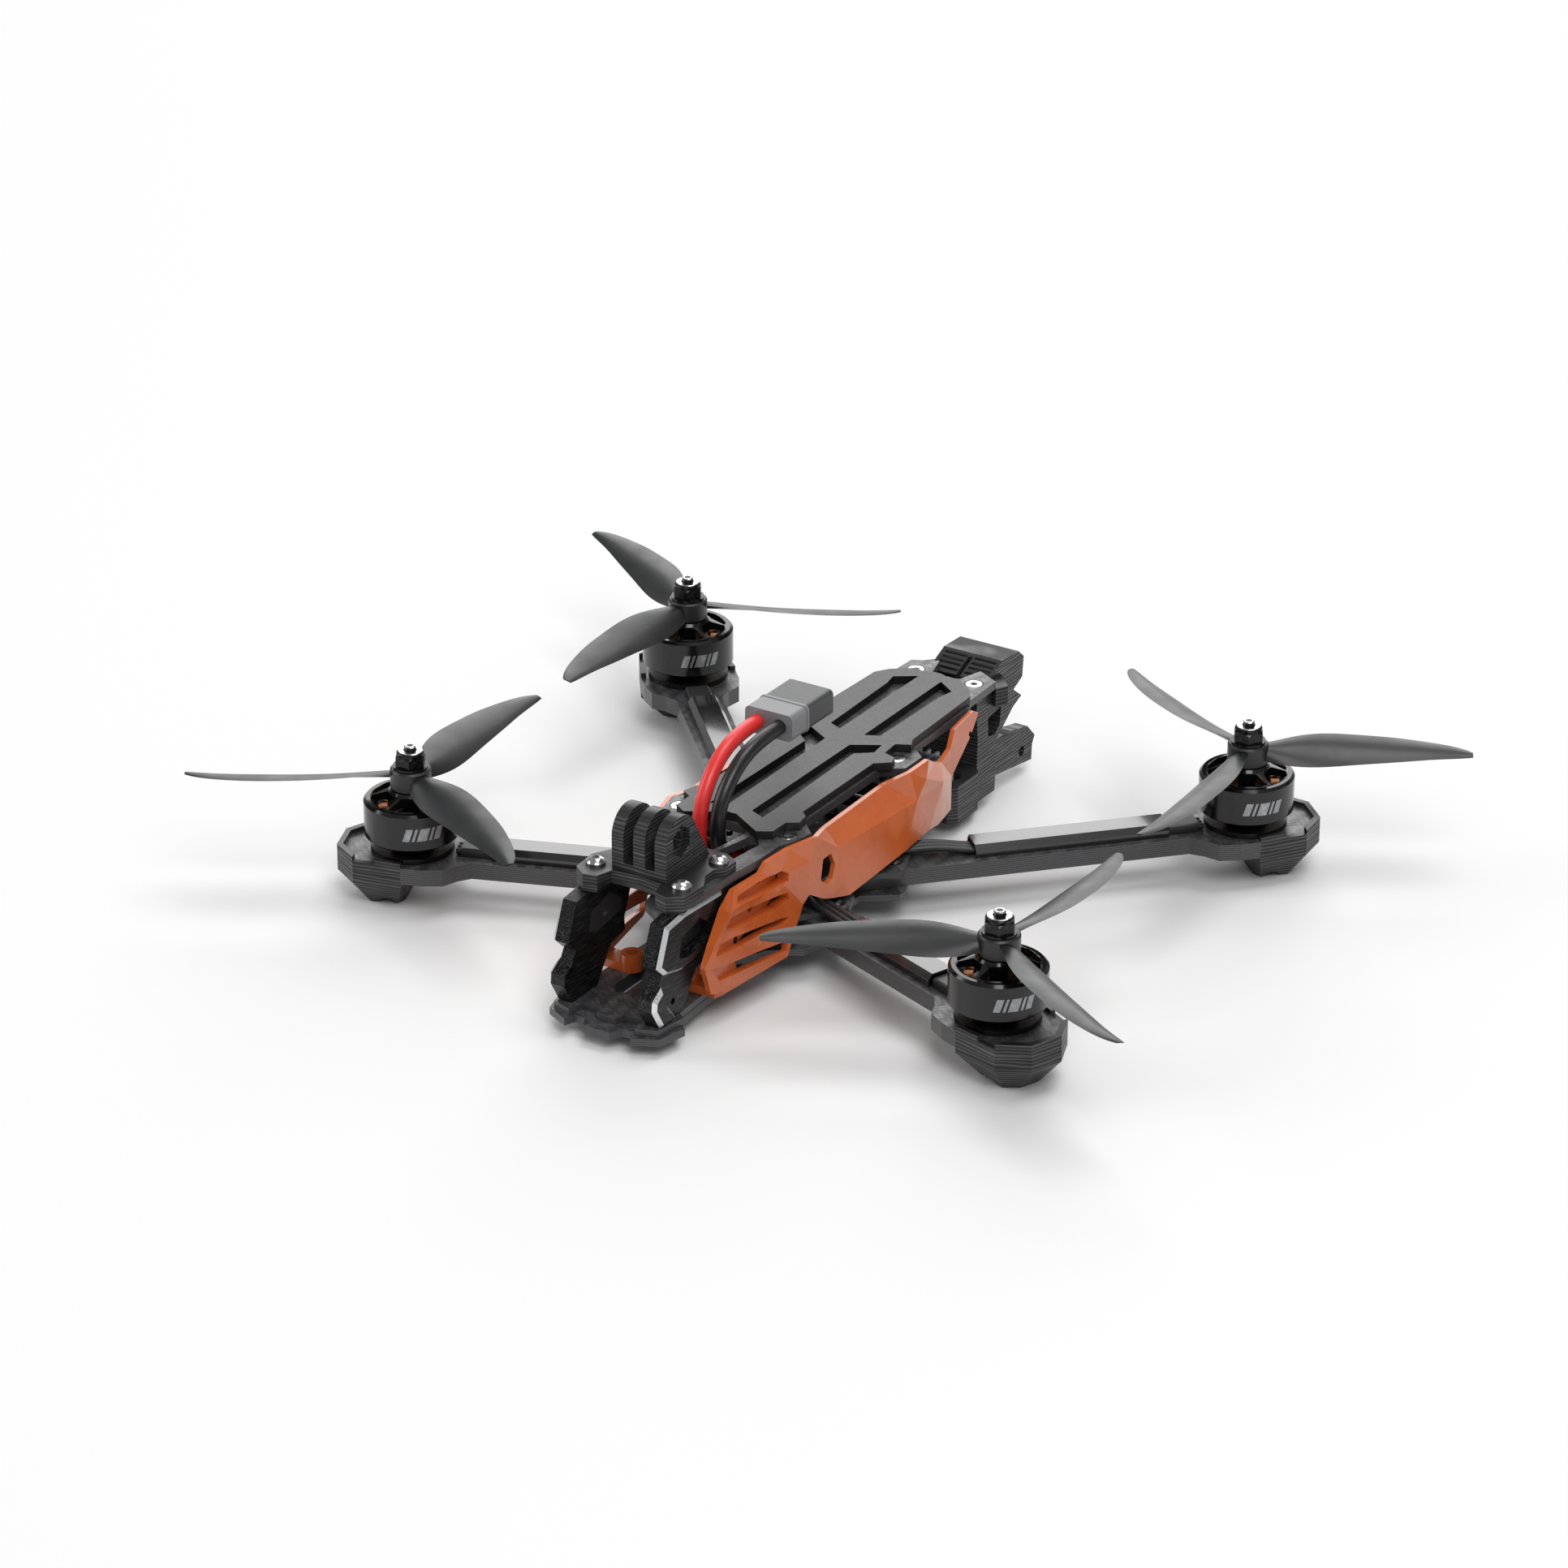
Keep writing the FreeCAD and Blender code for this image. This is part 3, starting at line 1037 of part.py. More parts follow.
def make_electronics():
    joints = [(way * size("lead_start_pitch") / 2, -14.5, 4.6, 3.0, 4.0) for way in (-1, 1)]
    chips = [(0, 0, 12, 12, 1.4), (0, 12, 9, 3, 3.4), (-9, -5, 5, 4, 1.2), (9, -5, 5, 4, 1.2)]
    board("speed_controller", 0, joints + chips)
    chips = [(0, 0, 9, 9, 1.2), (16.6, 2, 4, 8, 3.2), (-16.6, 2, 4, 8, 3.2), (-6, 10, 5, 5, 1.0), (7, -10, 4, 3, 0.9)]
    board("flight_controller", 1, chips)
    grommet = cylinder(2.6, size("stack_lift"), Vector(0, 0, deck_z))
    bolt = cylinder(1.45, board_z(1) + size("board_t") - base_z, Vector(0, 0, base_z))
    spacer = cylinder(2.6, size("stack_gap"), Vector(0, 0, board_z(0) + size("board_t")))
    nut = hexagon(5.0, board_z(1) + size("board_t"), 2.4)
    one = bolt.fuse([grommet, spacer, nut])
    feature("stack_hardware", Part.makeCompound([one.translated(Vector(x, y, 0)) for x, y in stack_spots()]))
    box = doc.addObject("Part::Box", "video_transmitter")
    box.Length, box.Width, box.Height = 26.0, 26.0, 7.0
    box.Placement = Placement(Vector(-13.0, 20.0, 0), Rotation())
    box.setExpression("Placement.Base.z", DECK)
    keep("video_transmitter", box)
    can = doc.addObject("Part::Cylinder", "capacitor")
    can.setExpression("Radius", "Sizes.cap_radius")
    can.setExpression("Height", "Sizes.cap_length")
    spot = Vector(-size("cap_length") / 2, 6.5, deck_z + size("cap_radius"))
    can.Placement = Placement(spot, Rotation(Vector(0, 1, 0), 90))
    keep("capacitor", can)


# ---- power leads and their plug ----
plug_x = -0.8
plug_y = -33.0
plug_axis_z = pad_z + size("pad_t") + size("plug_lift")


def lead_route(side):
    """Down the board, out over its front edge, up through the top plate and back to the plug."""
    start_x, gap_x = side * size("lead_start_pitch") / 2, side * 2.9 - 0.9
    end_x = plug_x + side * size("lead_pitch") / 2
    low = board_z(0) + size("board_t") + size("lead_d") / 2 + 0.02
    start_y = size("stack_y") - 16.0
    lift = plug_axis_z - low
    route = [Vector(start_x, start_y, low), Vector(start_x, start_y - 10.8, low)]
    route += [Vector(0.5 * (start_x + gap_x), plug_y - 29.2, low + 0.16 * lift)]
    route += [Vector(gap_x, plug_y - 31.4, low + 0.46 * lift), Vector(gap_x, plug_y - 29.6, low + 0.705 * lift)]
    route += [Vector(0.5 * (gap_x + end_x), plug_y - 21.0, low + 0.92 * lift)]
    return route + [Vector(end_x, plug_y - 10.3, plug_axis_z), Vector(end_x, plug_y, plug_axis_z)]


def rounded_bar(width, height, length, corner, centre_x, start_y):
    bar = Part.makeBox(width, length, height, Vector(centre_x - width / 2, start_y, plug_axis_z - height / 2))
    long_edges = [edge for edge in bar.Edges if edge.BoundBox.YLength > length - 0.01]
    return bar.makeFillet(corner, long_edges)


def make_power_plug():
    width, height = size("plug_width"), size("plug_height")
    half = size("lead_pitch") / 2
    sheath = rounded_bar(width, height, size("sheath_length"), 1.6, plug_x, plug_y)
    feature("connector_sheath", sheath)
    start = plug_y + size("sheath_length")
    shell = rounded_bar(width - 0.3, height - 0.3, size("plug_length"), 1.5, plug_x, start)
    socket = rounded_bar(width - 2.6, height - 2.4, size("plug_length") - 2.0, 0.8, plug_x, start + 2.0)
    shell = shell.cut(socket)
    feature("connector_body", shell)
    pins = []
    for way in (-1, 1):
        spot = Vector(plug_x + way * half, start + 2.0, plug_axis_z)
        pins.append(cylinder(1.75, size("plug_length") - 4.5, spot, Vector(0, 1, 0)))
    feature("connector_pins", Part.makeCompound(pins))


def make_leads():
    for label, side in (("power_lead_red", -1), ("power_lead_black", 1)):
        feature(label, swept(lead_route(side), size("lead_d"), label))


def centre_on_origin():
    """Moves every piece aft or forward alike, so that the craft's box is centred on the origin."""
    solid = [obj for obj in nodes if obj.Label not in cord_labels]
    low = min(obj.Shape.BoundBox.YMin for obj in solid)
    high = max(obj.Shape.BoundBox.YMax for obj in solid)
    shift = -(low + high) / 2
    for obj in nodes:
        spot = obj.Placement
        obj.Placement = Placement(spot.Base + Vector(0, shift, 0), spot.Rotation)
    print("plan shift %.4f" % shift)


def export():
    doc.recompute()
    os.makedirs("parts", exist_ok=True)
    for obj in doc.Objects:
        if "Invalid" in obj.State or "Error" in obj.State:
            raise RuntimeError(obj.Label + " did not build: " + str(obj.State))
    for obj in nodes:
        if obj.Shape.isNull() or not obj.Shape.isValid():
            raise RuntimeError(obj.Label + " has no valid shape")
    for obj in nodes:
        obj.Shape.exportStep("parts/%s.step" % obj.Label)
    print(len(nodes), "nodes written")


for corner in SIDES:
    make_arm(*corner)
    make_bumper(*corner)
    make_sleeve(*corner)
    make_motor_base(*corner)
    make_bell(*corner)
    make_nut(*corner)
blade_blank = blade()
for corner in SIDES:
    make_prop(*corner, blade_blank)
make_motor_insides()
make_motor_wires()
make_boots()
make_plates()
make_battery_pad()
doc.recompute()
make_panels()
make_cage()
make_accessory_mount()
make_antenna_bracket()
make_fasteners()
make_electronics()
make_power_plug()
make_leads()
doc.recompute()
centre_on_origin()
export()
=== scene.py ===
import json
import math

import bmesh
import bpy
from mathutils import Matrix, Vector


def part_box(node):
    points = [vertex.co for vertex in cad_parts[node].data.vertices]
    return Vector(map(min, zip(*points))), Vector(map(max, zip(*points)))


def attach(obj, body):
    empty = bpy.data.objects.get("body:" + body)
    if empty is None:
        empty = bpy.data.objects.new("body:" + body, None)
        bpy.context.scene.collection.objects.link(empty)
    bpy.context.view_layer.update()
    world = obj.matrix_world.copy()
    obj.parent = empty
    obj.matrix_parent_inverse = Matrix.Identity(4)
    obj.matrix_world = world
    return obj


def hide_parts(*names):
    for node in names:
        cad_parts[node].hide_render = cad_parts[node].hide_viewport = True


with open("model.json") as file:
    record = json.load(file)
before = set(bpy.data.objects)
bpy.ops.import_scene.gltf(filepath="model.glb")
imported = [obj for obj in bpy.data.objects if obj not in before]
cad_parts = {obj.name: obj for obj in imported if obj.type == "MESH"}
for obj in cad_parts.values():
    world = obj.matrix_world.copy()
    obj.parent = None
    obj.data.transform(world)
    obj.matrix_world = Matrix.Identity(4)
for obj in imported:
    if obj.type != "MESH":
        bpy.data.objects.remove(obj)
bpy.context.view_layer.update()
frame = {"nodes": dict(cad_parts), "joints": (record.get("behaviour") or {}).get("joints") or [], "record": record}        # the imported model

nodes = frame["nodes"]
spins = {joint["name"][5:]: Vector(joint["pos_m"]) for joint in frame["joints"]}
corners = ["front_left", "front_right", "rear_left", "rear_right"]
middle = sum(spins.values(), Vector()) / 4      # the middle of the four motors
print("frame loaded:", len(nodes), "nodes")


cameraLook = {
    "turn": 32.255,          # degrees round from straight ahead of the nose
    "rise": 25.465,          # degrees above level
    "lean": 0.083,
    "distance": 1.6929,
    "aimHeight": 0.047,      # tips of the motor shafts
    "aimRight": -0.01395,
    "aimUp": -0.01444,
    "lens": 136.35,
    "farthest": 20,
}


def placeCamera(look):
    turn, rise, lean = (math.radians(look[key]) for key in ("turn", "rise", "lean"))
    back = Vector((math.sin(turn) * math.cos(rise), -math.cos(turn) * math.cos(rise), math.sin(rise)))
    right = Vector((math.cos(turn), math.sin(turn), 0))
    up = back.cross(right)
    rolledRight = right * math.cos(lean) + up * math.sin(lean)
    rolledUp = up * math.cos(lean) - right * math.sin(lean)
    spot = Vector((middle.x, middle.y, look["aimHeight"])) + back * look["distance"]
    spot += rolledRight * look["aimRight"] + rolledUp * look["aimUp"]
    data = bpy.data.cameras.new("camera")
    data.lens = look["lens"]
    data.clip_end = look["farthest"]
    camera = bpy.data.objects.new("camera", data)
    axes = Matrix((rolledRight, rolledUp, back)).transposed().to_4x4()
    camera.matrix_world = Matrix.Translation(spot) @ axes
    bpy.context.scene.collection.objects.link(camera)
    bpy.context.scene.camera = camera


placeCamera(cameraLook)
print("camera placed")


def newBlock(bm, low, high):
    # a box between two corners
    size = Vector(high) - Vector(low)
    centre = (Vector(high) + Vector(low)) / 2
    spot = Matrix.Translation(centre) @ Matrix.Diagonal((*size, 1))
    return bmesh.ops.create_cube(bm, size=1, matrix=spot)["verts"]


def curvedBar(bm, centre, inner, outer, low, high, start, sweep, slant=0.0):
    # a bar bent round an upright axis; slant turns its upper edge further round
    section = []
    for radius, z, turn in ((inner, low, start), (outer, low, start),
                            (outer, high, start + slant), (inner, high, start + slant)):
        x, y = centre.x + radius * math.cos(turn), centre.y + radius * math.sin(turn)
        section.append(bm.verts.new((x, y, z)))
    face = bm.faces.new(section)
    bmesh.ops.spin(bm, geom=[face], cent=(centre.x, centre.y, 0), axis=(0, 0, 1), angle=sweep, steps=4)


def ring(bm, centre, profile, steps=48):
    # a closed section, as (radius, height) pairs, turned right round
    verts = [bm.verts.new((centre.x + radius, centre.y, z)) for radius, z in profile]
    edges = [bm.edges.new((a, b)) for a, b in zip(verts, verts[1:] + verts[:1])]
    bmesh.ops.spin(bm, geom=verts + edges, cent=(centre.x, centre.y, 0), axis=(0, 0, 1),
                   angle=2 * math.pi, steps=steps, use_merge=True)


pieceSlots = {}      # the finish of each new piece


def newPiece(name, bm, slot, body="frame"):
    bmesh.ops.recalc_face_normals(bm, faces=bm.faces)
    mesh = bpy.data.meshes.new(name)
    bm.to_mesh(mesh)
    bm.free()
    piece = bpy.data.objects.new(name, mesh)
    bpy.context.scene.collection.objects.link(piece)
    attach(piece, body)
    pieceSlots[piece] = slot
    return piece


plugLook = {
    "lift": 0.00018,         # how far the collar stands proud
    "near": 0.0012,          # its two ends, back from the sheath's end
    "far": 0.0002,
    "corner": 0.0016,
}


def makePlugCollar():
    # a raised collar where the sheath meets the connector
    (x0, y0, z0), (x1, y1, z1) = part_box("connector_sheath")
    bm = bmesh.new()
    lift, near, far = plugLook["lift"], y1 - plugLook["near"], y1 - plugLook["far"]
    block = newBlock(bm, (x0 - lift, near, z0 - lift), (x1 + lift, far, z1 + lift))
    edges = {edge for vert in block for edge in vert.link_edges}
    lengthwise = [edge for edge in edges if abs(edge.verts[0].co.y - edge.verts[1].co.y) > (far - near) / 2]
    bmesh.ops.bevel(bm, geom=lengthwise, offset=plugLook["corner"], segments=4, profile=0.5,
                    affect="EDGES", material=-1)
    return newPiece("plugCollar", bm, "sheath_grey")


plugCollar = makePlugCollar()
print("plug collar made")


leadLook = {
    "diameter": 0.0044,
    "length": 0.0745,
    "red": [(-0.0052, -0.0410, 0.02302), (-0.0052, -0.0518, 0.02302), (-0.0045, -0.0622, 0.02937),
            (-0.0038, -0.0644, 0.04127), (-0.0038, -0.0626, 0.05099), (-0.0041, -0.0540, 0.05953),
            (-0.0044, -0.0433, 0.0627), (-0.0044, -0.0330, 0.0627)],
    "black": [(0.0052, -0.0410, 0.02302), (0.0052, -0.0518, 0.02302), (0.0036, -0.0622, 0.02937),
              (0.0020, -0.0644, 0.04127), (0.0020, -0.0626, 0.05099), (0.0024, -0.0540, 0.05953),
              (0.0028, -0.0433, 0.0627), (0.0028, -0.0330, 0.0627)],
}


def makeLead(colour):
    route = [Vector(point) + Vector((0, middle.y, 0)) for point in leadLook[colour]]
    curve = bpy.data.curves.new("lead_" + colour, "CURVE")
    curve.dimensions = "3D"
    curve.bevel_depth = 1       # each point's radius gives the thickness, so the curve's box fits it
    curve.bevel_resolution = 6
    curve.use_fill_caps = True
    curve.resolution_u = 16
    line = curve.splines.new("NURBS")
    line.points.add(len(route) - 1)
    for point, spot in zip(line.points, route):
        point.co = (*spot, 1)
        point.radius = leadLook["diameter"] / 2
    line.order_u = 3
    line.use_endpoint_u = True
    lead = bpy.data.objects.new("lead_" + colour, curve)
    bpy.context.scene.collection.objects.link(lead)
    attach(lead, "frame")
    pieceSlots[lead] = "lead_" + colour
    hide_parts("power_lead_" + colour)


makeLead("red")
makeLead("black")
print("leads made")


rotorLook = {
    "can": 0.01375,
    "bars": (8, 3, 12, 3, 8),    # widths of the marks in degrees
    "gap": 3.0,
    "slant": 5.0,
    "markStart": -66.0,
    "markLow": 0.0034,
    "markHigh": 0.0072,
    "markSink": 0.0001,
    "markLift": 0.00004,
    "rimDrop": 0.004,            # from the node's lowest point up to the can's rim
    "magnets": 14,
    "magnetInner": 0.01145,
    "magnetOuter": 0.01205,
    "magnetLow": 0.0006,
    "magnetTop": 0.0092,
    "magnetFill": 0.86,          # share of the way round that is magnet
    "capInner": 0.00195,         # bright ring on the nut
    "capOuter": 0.0034,
    "capDepth": 0.0006,
    "capLift": 0.0001,
    "shaftOuter": 0.0016,        # bright ring on the shaft's end, round the hex socket
    "shaftDepth": 0.0003,
    "shaftLift": 0.00008,
    "socket": 0.00095,
    "socketDepth": 0.0002,
}


def makeRotorParts(corner):
    # plain bars on the can, the magnets inside it and the bright ends of the nut and the shaft
    look = rotorLook
    centre = spins[corner]
    body = "rotor_" + corner
    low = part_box("bell_" + corner)[0][2] + look["rimDrop"]
    bm = bmesh.new()
    turn = math.radians(look["markStart"])
    for width in look["bars"]:
        curvedBar(bm, centre, look["can"] - look["markSink"], look["can"] + look["markLift"],
                  low + look["markLow"], low + look["markHigh"],
                  turn, math.radians(width), math.radians(look["slant"]))
        turn += math.radians(width + look["gap"])
    newPiece("bellMarks_" + corner, bm, "module_grey", body)
    bm = bmesh.new()
    pitch = 2 * math.pi / look["magnets"]
    for step in range(look["magnets"]):
        curvedBar(bm, centre, look["magnetInner"], look["magnetOuter"],
                  low + look["magnetLow"], low + look["magnetTop"],
                  step * pitch, pitch * look["magnetFill"])
    newPiece("magnets_" + corner, bm, "bright_steel", body)
    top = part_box("prop_nut_" + corner)[1][2]
    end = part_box("bell_" + corner)[1][2]
    bm = bmesh.new()
    inner, outer = look["capInner"], look["capOuter"]
    low, high = top - look["capDepth"], top + look["capLift"]
    ring(bm, centre, [(inner, low), (inner, high), (outer, high), (outer + 0.0002, top - 0.00005)])
    inner, outer = look["socket"], look["shaftOuter"]
    low, high = end - look["shaftDepth"], end + look["shaftLift"]
    ring(bm, centre, [(inner, low), (inner, high), (outer - 0.0002, high),
                      (outer + 0.00015, end - 0.0002)], 36)
    newPiece("nutCap_" + corner, bm, "bright_steel", body)
    bm = bmesh.new()
    spot = Matrix.Translation((centre.x, centre.y, end - look["socketDepth"] / 10))
    bmesh.ops.create_cone(bm, cap_ends=True, segments=6, radius1=look["socket"], radius2=look["socket"],
                          depth=look["socketDepth"], matrix=spot)
    newPiece("shaftSocket_" + corner, bm, "dark_steel", body)


for corner in corners:
    makeRotorParts(corner)
print("rotor parts made")


boardLook = {
    "margins": {"speed_controller": 0.0052, "flight_controller": 0.0042},
    "thickness": 0.0016,
    "chipStep": 0.0042,
    "chips": ((0.003, 0.0022, 0.0009), (0.0016, 0.0008, 0.0006), (0.001, 0.0018, 0.0008)),
    "sink": 0.0001,              # how far a part reaches into the board below it
    "socketSize": (0.004, 0.0068),
    "socketStep": 0.0092,
    "socketStart": 0.006,
    "socketLow": 0.0015,
    "socketHigh": 0.0044,
    "socketInset": 0.0006,
    "finCount": 9,
    "finSide": 0.001,
    "finEnd": 0.0015,
    "finHeight": 0.0022,
    "finWall": 0.0007,
}


def makeBoardParts():
    # surface parts on the two boards, sockets at the flight controller's edges and fins on the transmitter
    chips, sockets, caps = bmesh.new(), bmesh.new(), bmesh.new()
    step = boardLook["chipStep"]
    for name, margin in boardLook["margins"].items():
        (x0, y0, z0), (x1, y1, z1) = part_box(name)
        level = z0 + boardLook["thickness"]
        across = int((x1 - x0 - 2 * margin) / step)
        for column in range(across):
            for row in (0, 1, across - 1, across):
                x, y = x0 + margin + column * step, y0 + margin + row * step
                kind = (column * 3 + row * 5) % 4      # a fixed scatter; 0 leaves the place empty
                if kind == 0:
                    continue
                length, width, height = boardLook["chips"][kind - 1]
                newBlock(chips if kind == 1 else caps, (x, y, level - boardLook["sink"]),
                         (x + length, y + width, level + height))
    (x0, y0, z0), (x1, y1, z1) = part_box("flight_controller")
    depth, width = boardLook["socketSize"]
    inset = boardLook["socketInset"]
    low, high = z0 + boardLook["socketLow"], z0 + boardLook["socketHigh"]
    for side in (x0 + inset, x1 - depth - inset):
        for row in range(3):
            y = y0 + boardLook["socketStart"] + row * boardLook["socketStep"]
            newBlock(sockets, (side, y, low), (side + depth, y + width, high))
    newPiece("boardChips", chips, "dark_steel")
    newPiece("boardSockets", sockets, "sheath_grey")
    newPiece("boardCapacitors", caps, "bracket_alloy")
    (x0, y0, z0), (x1, y1, z1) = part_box("video_transmitter")
    fins = bmesh.new()
    wall, count = boardLook["finWall"], boardLook["finCount"]
    side, end = boardLook["finSide"], boardLook["finEnd"]
    for fin in range(count):
        x = x0 + side + fin * (x1 - x0 - 2 * side - wall) / (count - 1)
        low, high = z1 - boardLook["sink"], z1 + boardLook["finHeight"]
        newBlock(fins, (x, y0 + end, low), (x + wall, y1 - end, high))
    newPiece("transmitterFins", fins, "module_grey")


makeBoardParts()
print("board parts made")


class Wire:
    # a node socket that can be used in sums
    def __init__(self, paint, socket):
        self.paint = paint
        self.socket = socket

    def sum(self, operation, *others):
        return self.paint.node("ShaderNodeMath", {"operation": operation}, [self, *others])

    def __add__(self, other):
        return self.sum("ADD", other)

    def __radd__(self, other):
        return self.sum("ADD", other)

    def __sub__(self, other):
        return self.sum("SUBTRACT", other)

    def __rsub__(self, other):
        return self.paint.node("ShaderNodeMath", {"operation": "SUBTRACT"}, [other, self])

    def __mul__(self, other):
        return self.sum("MULTIPLY", other)

    def __rmul__(self, other):
        return self.sum("MULTIPLY", other)

    def __truediv__(self, other):
        return self.sum("DIVIDE", other)

    def __lt__(self, other):
        return self.sum("LESS_THAN", other)

    def __mod__(self, other):
        return self.sum("FLOORED_MODULO", other)

    def __abs__(self):
        return self.sum("ABSOLUTE")


class Paint:
    # one material: a Principled shader with its fixed values, and the nodes that feed it
    def __init__(self, name, **fixed):
        self.material = bpy.data.materials.new(name)
        self.material.use_nodes = True
        self.tree = self.material.node_tree
        self.shader = self.tree.nodes["Principled BSDF"]
        for key, value in fixed.items():
            self.fix(self.shader.inputs[key.replace("_", " ")], value)

    def fix(self, socket, value):
        socket.default_value = (*value, 1) if socket.type == "RGBA" and len(value) == 3 else value

    def node(self, kind, settings=None, values=(), out=0):
        made = self.tree.nodes.new(kind)
        for key, value in (settings or {}).items():
            setattr(made, key, value)
        pairs = values.items() if isinstance(values, dict) else enumerate(values)
        for key, value in pairs:
            socket = made.inputs[key]
            if isinstance(value, Wire):
                self.tree.links.new(value.socket, socket)
            else:
                self.fix(socket, value)
        return Wire(self, made.outputs[out])

    def feed(self, key, wire):
        self.tree.links.new(wire.socket, self.shader.inputs[key])

    def place(self):
        return self.node("ShaderNodeTexCoord", out=3)

    def facing(self):
        return self.node("ShaderNodeNewGeometry", out=1)

    def axes(self, vector):
        split = self.tree.nodes.new("ShaderNodeSeparateXYZ")
        self.tree.links.new(vector.socket, split.inputs[0])
        return [Wire(self, split.outputs[k]) for k in range(3)]

    def stretched(self, scale):
        return self.node("ShaderNodeMapping", {}, {"Vector": self.place(), "Scale": scale})

    def noise(self, scale, detail=2.0, vector=None):
        values = {"Vector": vector or self.place(), "Scale": scale, "Detail": detail}
        return self.node("ShaderNodeTexNoise", {}, values)

    def mixColour(self, share, first, second):
        return self.node("ShaderNodeMix", {"data_type": "RGBA"}, {0: share, 6: first, 7: second}, out=2)

    def fade(self, wire, low, high, fromValue=0.0, toValue=1.0):
        values = {"Value": wire, "From Min": low, "From Max": high, "To Min": fromValue, "To Max": toValue}
        return self.node("ShaderNodeMapRange", {"interpolation_type": "SMOOTHSTEP"}, values)

    def bump(self, height, distance, strength=1.0):
        values = {"Strength": strength, "Distance": distance, "Height": height}
        self.feed("Normal", self.node("ShaderNodeBump", {}, values))


carbonLook = {
    "tow": 0.0016,
    "towsPerMetre": 440,         # squares of the weave that differ in tone
    "diagonal": 0.785,
    "ply": 0.00032,
    "dark": (0.008, 0.008, 0.009),
    "light": (0.1, 0.1, 0.105),
}


def carbonMaterial():
    # twill weave on the flat faces, thin plies on the cut edges
    paint = Paint("carbonWeave", Roughness=0.36, Coat_Weight=0.15, Coat_Roughness=0.25)
    x, y, z = paint.axes(paint.place())
    u, v = (x + y) / (carbonLook["tow"] * 1.414), (x - y) / (carbonLook["tow"] * 1.414)
    over = ((u.sum("FLOOR") + v.sum("FLOOR")) % 4.0) < 2.0
    ridgeU = (u * math.pi).sum("SINE").sum("ABSOLUTE")
    ridgeV = (v * math.pi).sum("SINE").sum("ABSOLUTE")
    ridge = over * ridgeU + (1 - over) * ridgeV
    scale = (carbonLook["towsPerMetre"], carbonLook["towsPerMetre"], 1)
    values = {"Vector": paint.place(), "Rotation": (0, 0, carbonLook["diagonal"]), "Scale": scale}
    turned = paint.node("ShaderNodeMapping", {}, values)
    squares = paint.node("ShaderNodeVectorMath", {"operation": "FLOOR"}, {0: turned})
    tows = paint.node("ShaderNodeTexWhiteNoise", {}, {"Vector": squares})
    weave = 0.22 * over + 0.3 * ridge + 0.5 * tows * tows + 0.15 * paint.noise(900.0)
    fibres = paint.noise(1.0, 3.0, paint.stretched((900, 900, 3500)))
    ply = ((z / carbonLook["ply"] * math.pi).sum("SINE") * 0.5 + 0.5) * 0.6 + 0.5 * fibres
    nx, ny, nz = paint.axes(paint.facing())
    flat = paint.fade(abs(nz), 0.5, 0.8)
    pattern = flat * weave + (1 - flat) * ply
    paint.feed("Base Color", paint.mixColour(pattern * 0.9, carbonLook["dark"], carbonLook["light"]))
    paint.feed("Roughness", paint.fade(pattern, 0.0, 1.0, 0.5, 0.28))
    paint.bump(pattern, 0.00006, 0.6)
    return paint.material


# light: mostly the painted highlight on the layer crests of upright faces; the grain adds a little of it at
# random
printLook = {"layer": 0.00105, "dark": (0.004, 0.004, 0.0045), "light": (0.085, 0.085, 0.09)}


def printedMaterial():
    # flexible print with its layers lying level; the light stripes along the layer crests on upright faces
    # are painted highlights
    layer, dark, light = printLook["layer"], printLook["dark"], printLook["light"]
    paint = Paint("printBlack", Roughness=0.5)
    x, y, z = paint.axes(paint.place())
    drift = paint.noise(1.0, 2.0, paint.stretched((60, 60, 900))) * 1.4
    line = ((z / layer + drift) * (2 * math.pi)).sum("SINE") * 0.5 + 0.5
    nx, ny, nz = paint.axes(paint.facing())
    upright = 1 - paint.fade(abs(nz), 0.55, 0.95)
    grain = paint.noise(2500.0, 2.0)
    # painted highlight along the layer crests
    edge = line * line * line
    paint.feed("Base Color", paint.mixColour(upright * edge * 0.8 + grain * 0.15, dark, light))
    paint.feed("Roughness", paint.fade(line, 0.0, 1.0, 0.6, 0.34))
    paint.bump(upright * line + grain * 0.3, 0.00012, 0.7)
    return paint.material


metalLook = {               # dark and light tone, roughness, metallic
    "bell": ((0.003, 0.003, 0.0035), (0.008, 0.008, 0.009), 0.16, 0.0),
    "nut": ((0.006, 0.006, 0.0065), (0.03, 0.03, 0.032), 0.22, 0.5),
    "base": ((0.004, 0.004, 0.0045), (0.012, 0.012, 0.013), 0.35, 0.3),
    "dark": ((0.02, 0.02, 0.022), (0.1, 0.1, 0.1), 0.35, 0.9),
    "bright": ((0.55, 0.55, 0.56), (0.8, 0.8, 0.8), 0.2, 1.0),
    "post": ((0.3, 0.3, 0.31), (0.5, 0.5, 0.5), 0.35, 1.0),
    "iron": ((0.06, 0.06, 0.065), (0.2, 0.2, 0.2), 0.5, 0.8),
}


def metalMaterial(name, dark, light, roughness, metallic):
    # turned or rolled metal: fine lines round and a little wear
    paint = Paint(name, Metallic=metallic)
    wear = paint.noise(700.0, 4.0)
    fine = paint.noise(1.0, 2.0, paint.stretched((200, 200, 9000)))
    paint.feed("Base Color", paint.mixColour(paint.fade(wear, 0.45, 0.75), dark, light))
    paint.feed("Roughness", paint.fade(fine, 0.3, 0.7, roughness * 0.75, roughness * 1.3))
    paint.bump(fine + wear * 0.4, 0.00001, 0.4)
    return paint.material


bladeLook = {"colour": (0.007, 0.0075, 0.0085), "sheen": (0.012, 0.0125, 0.014)}


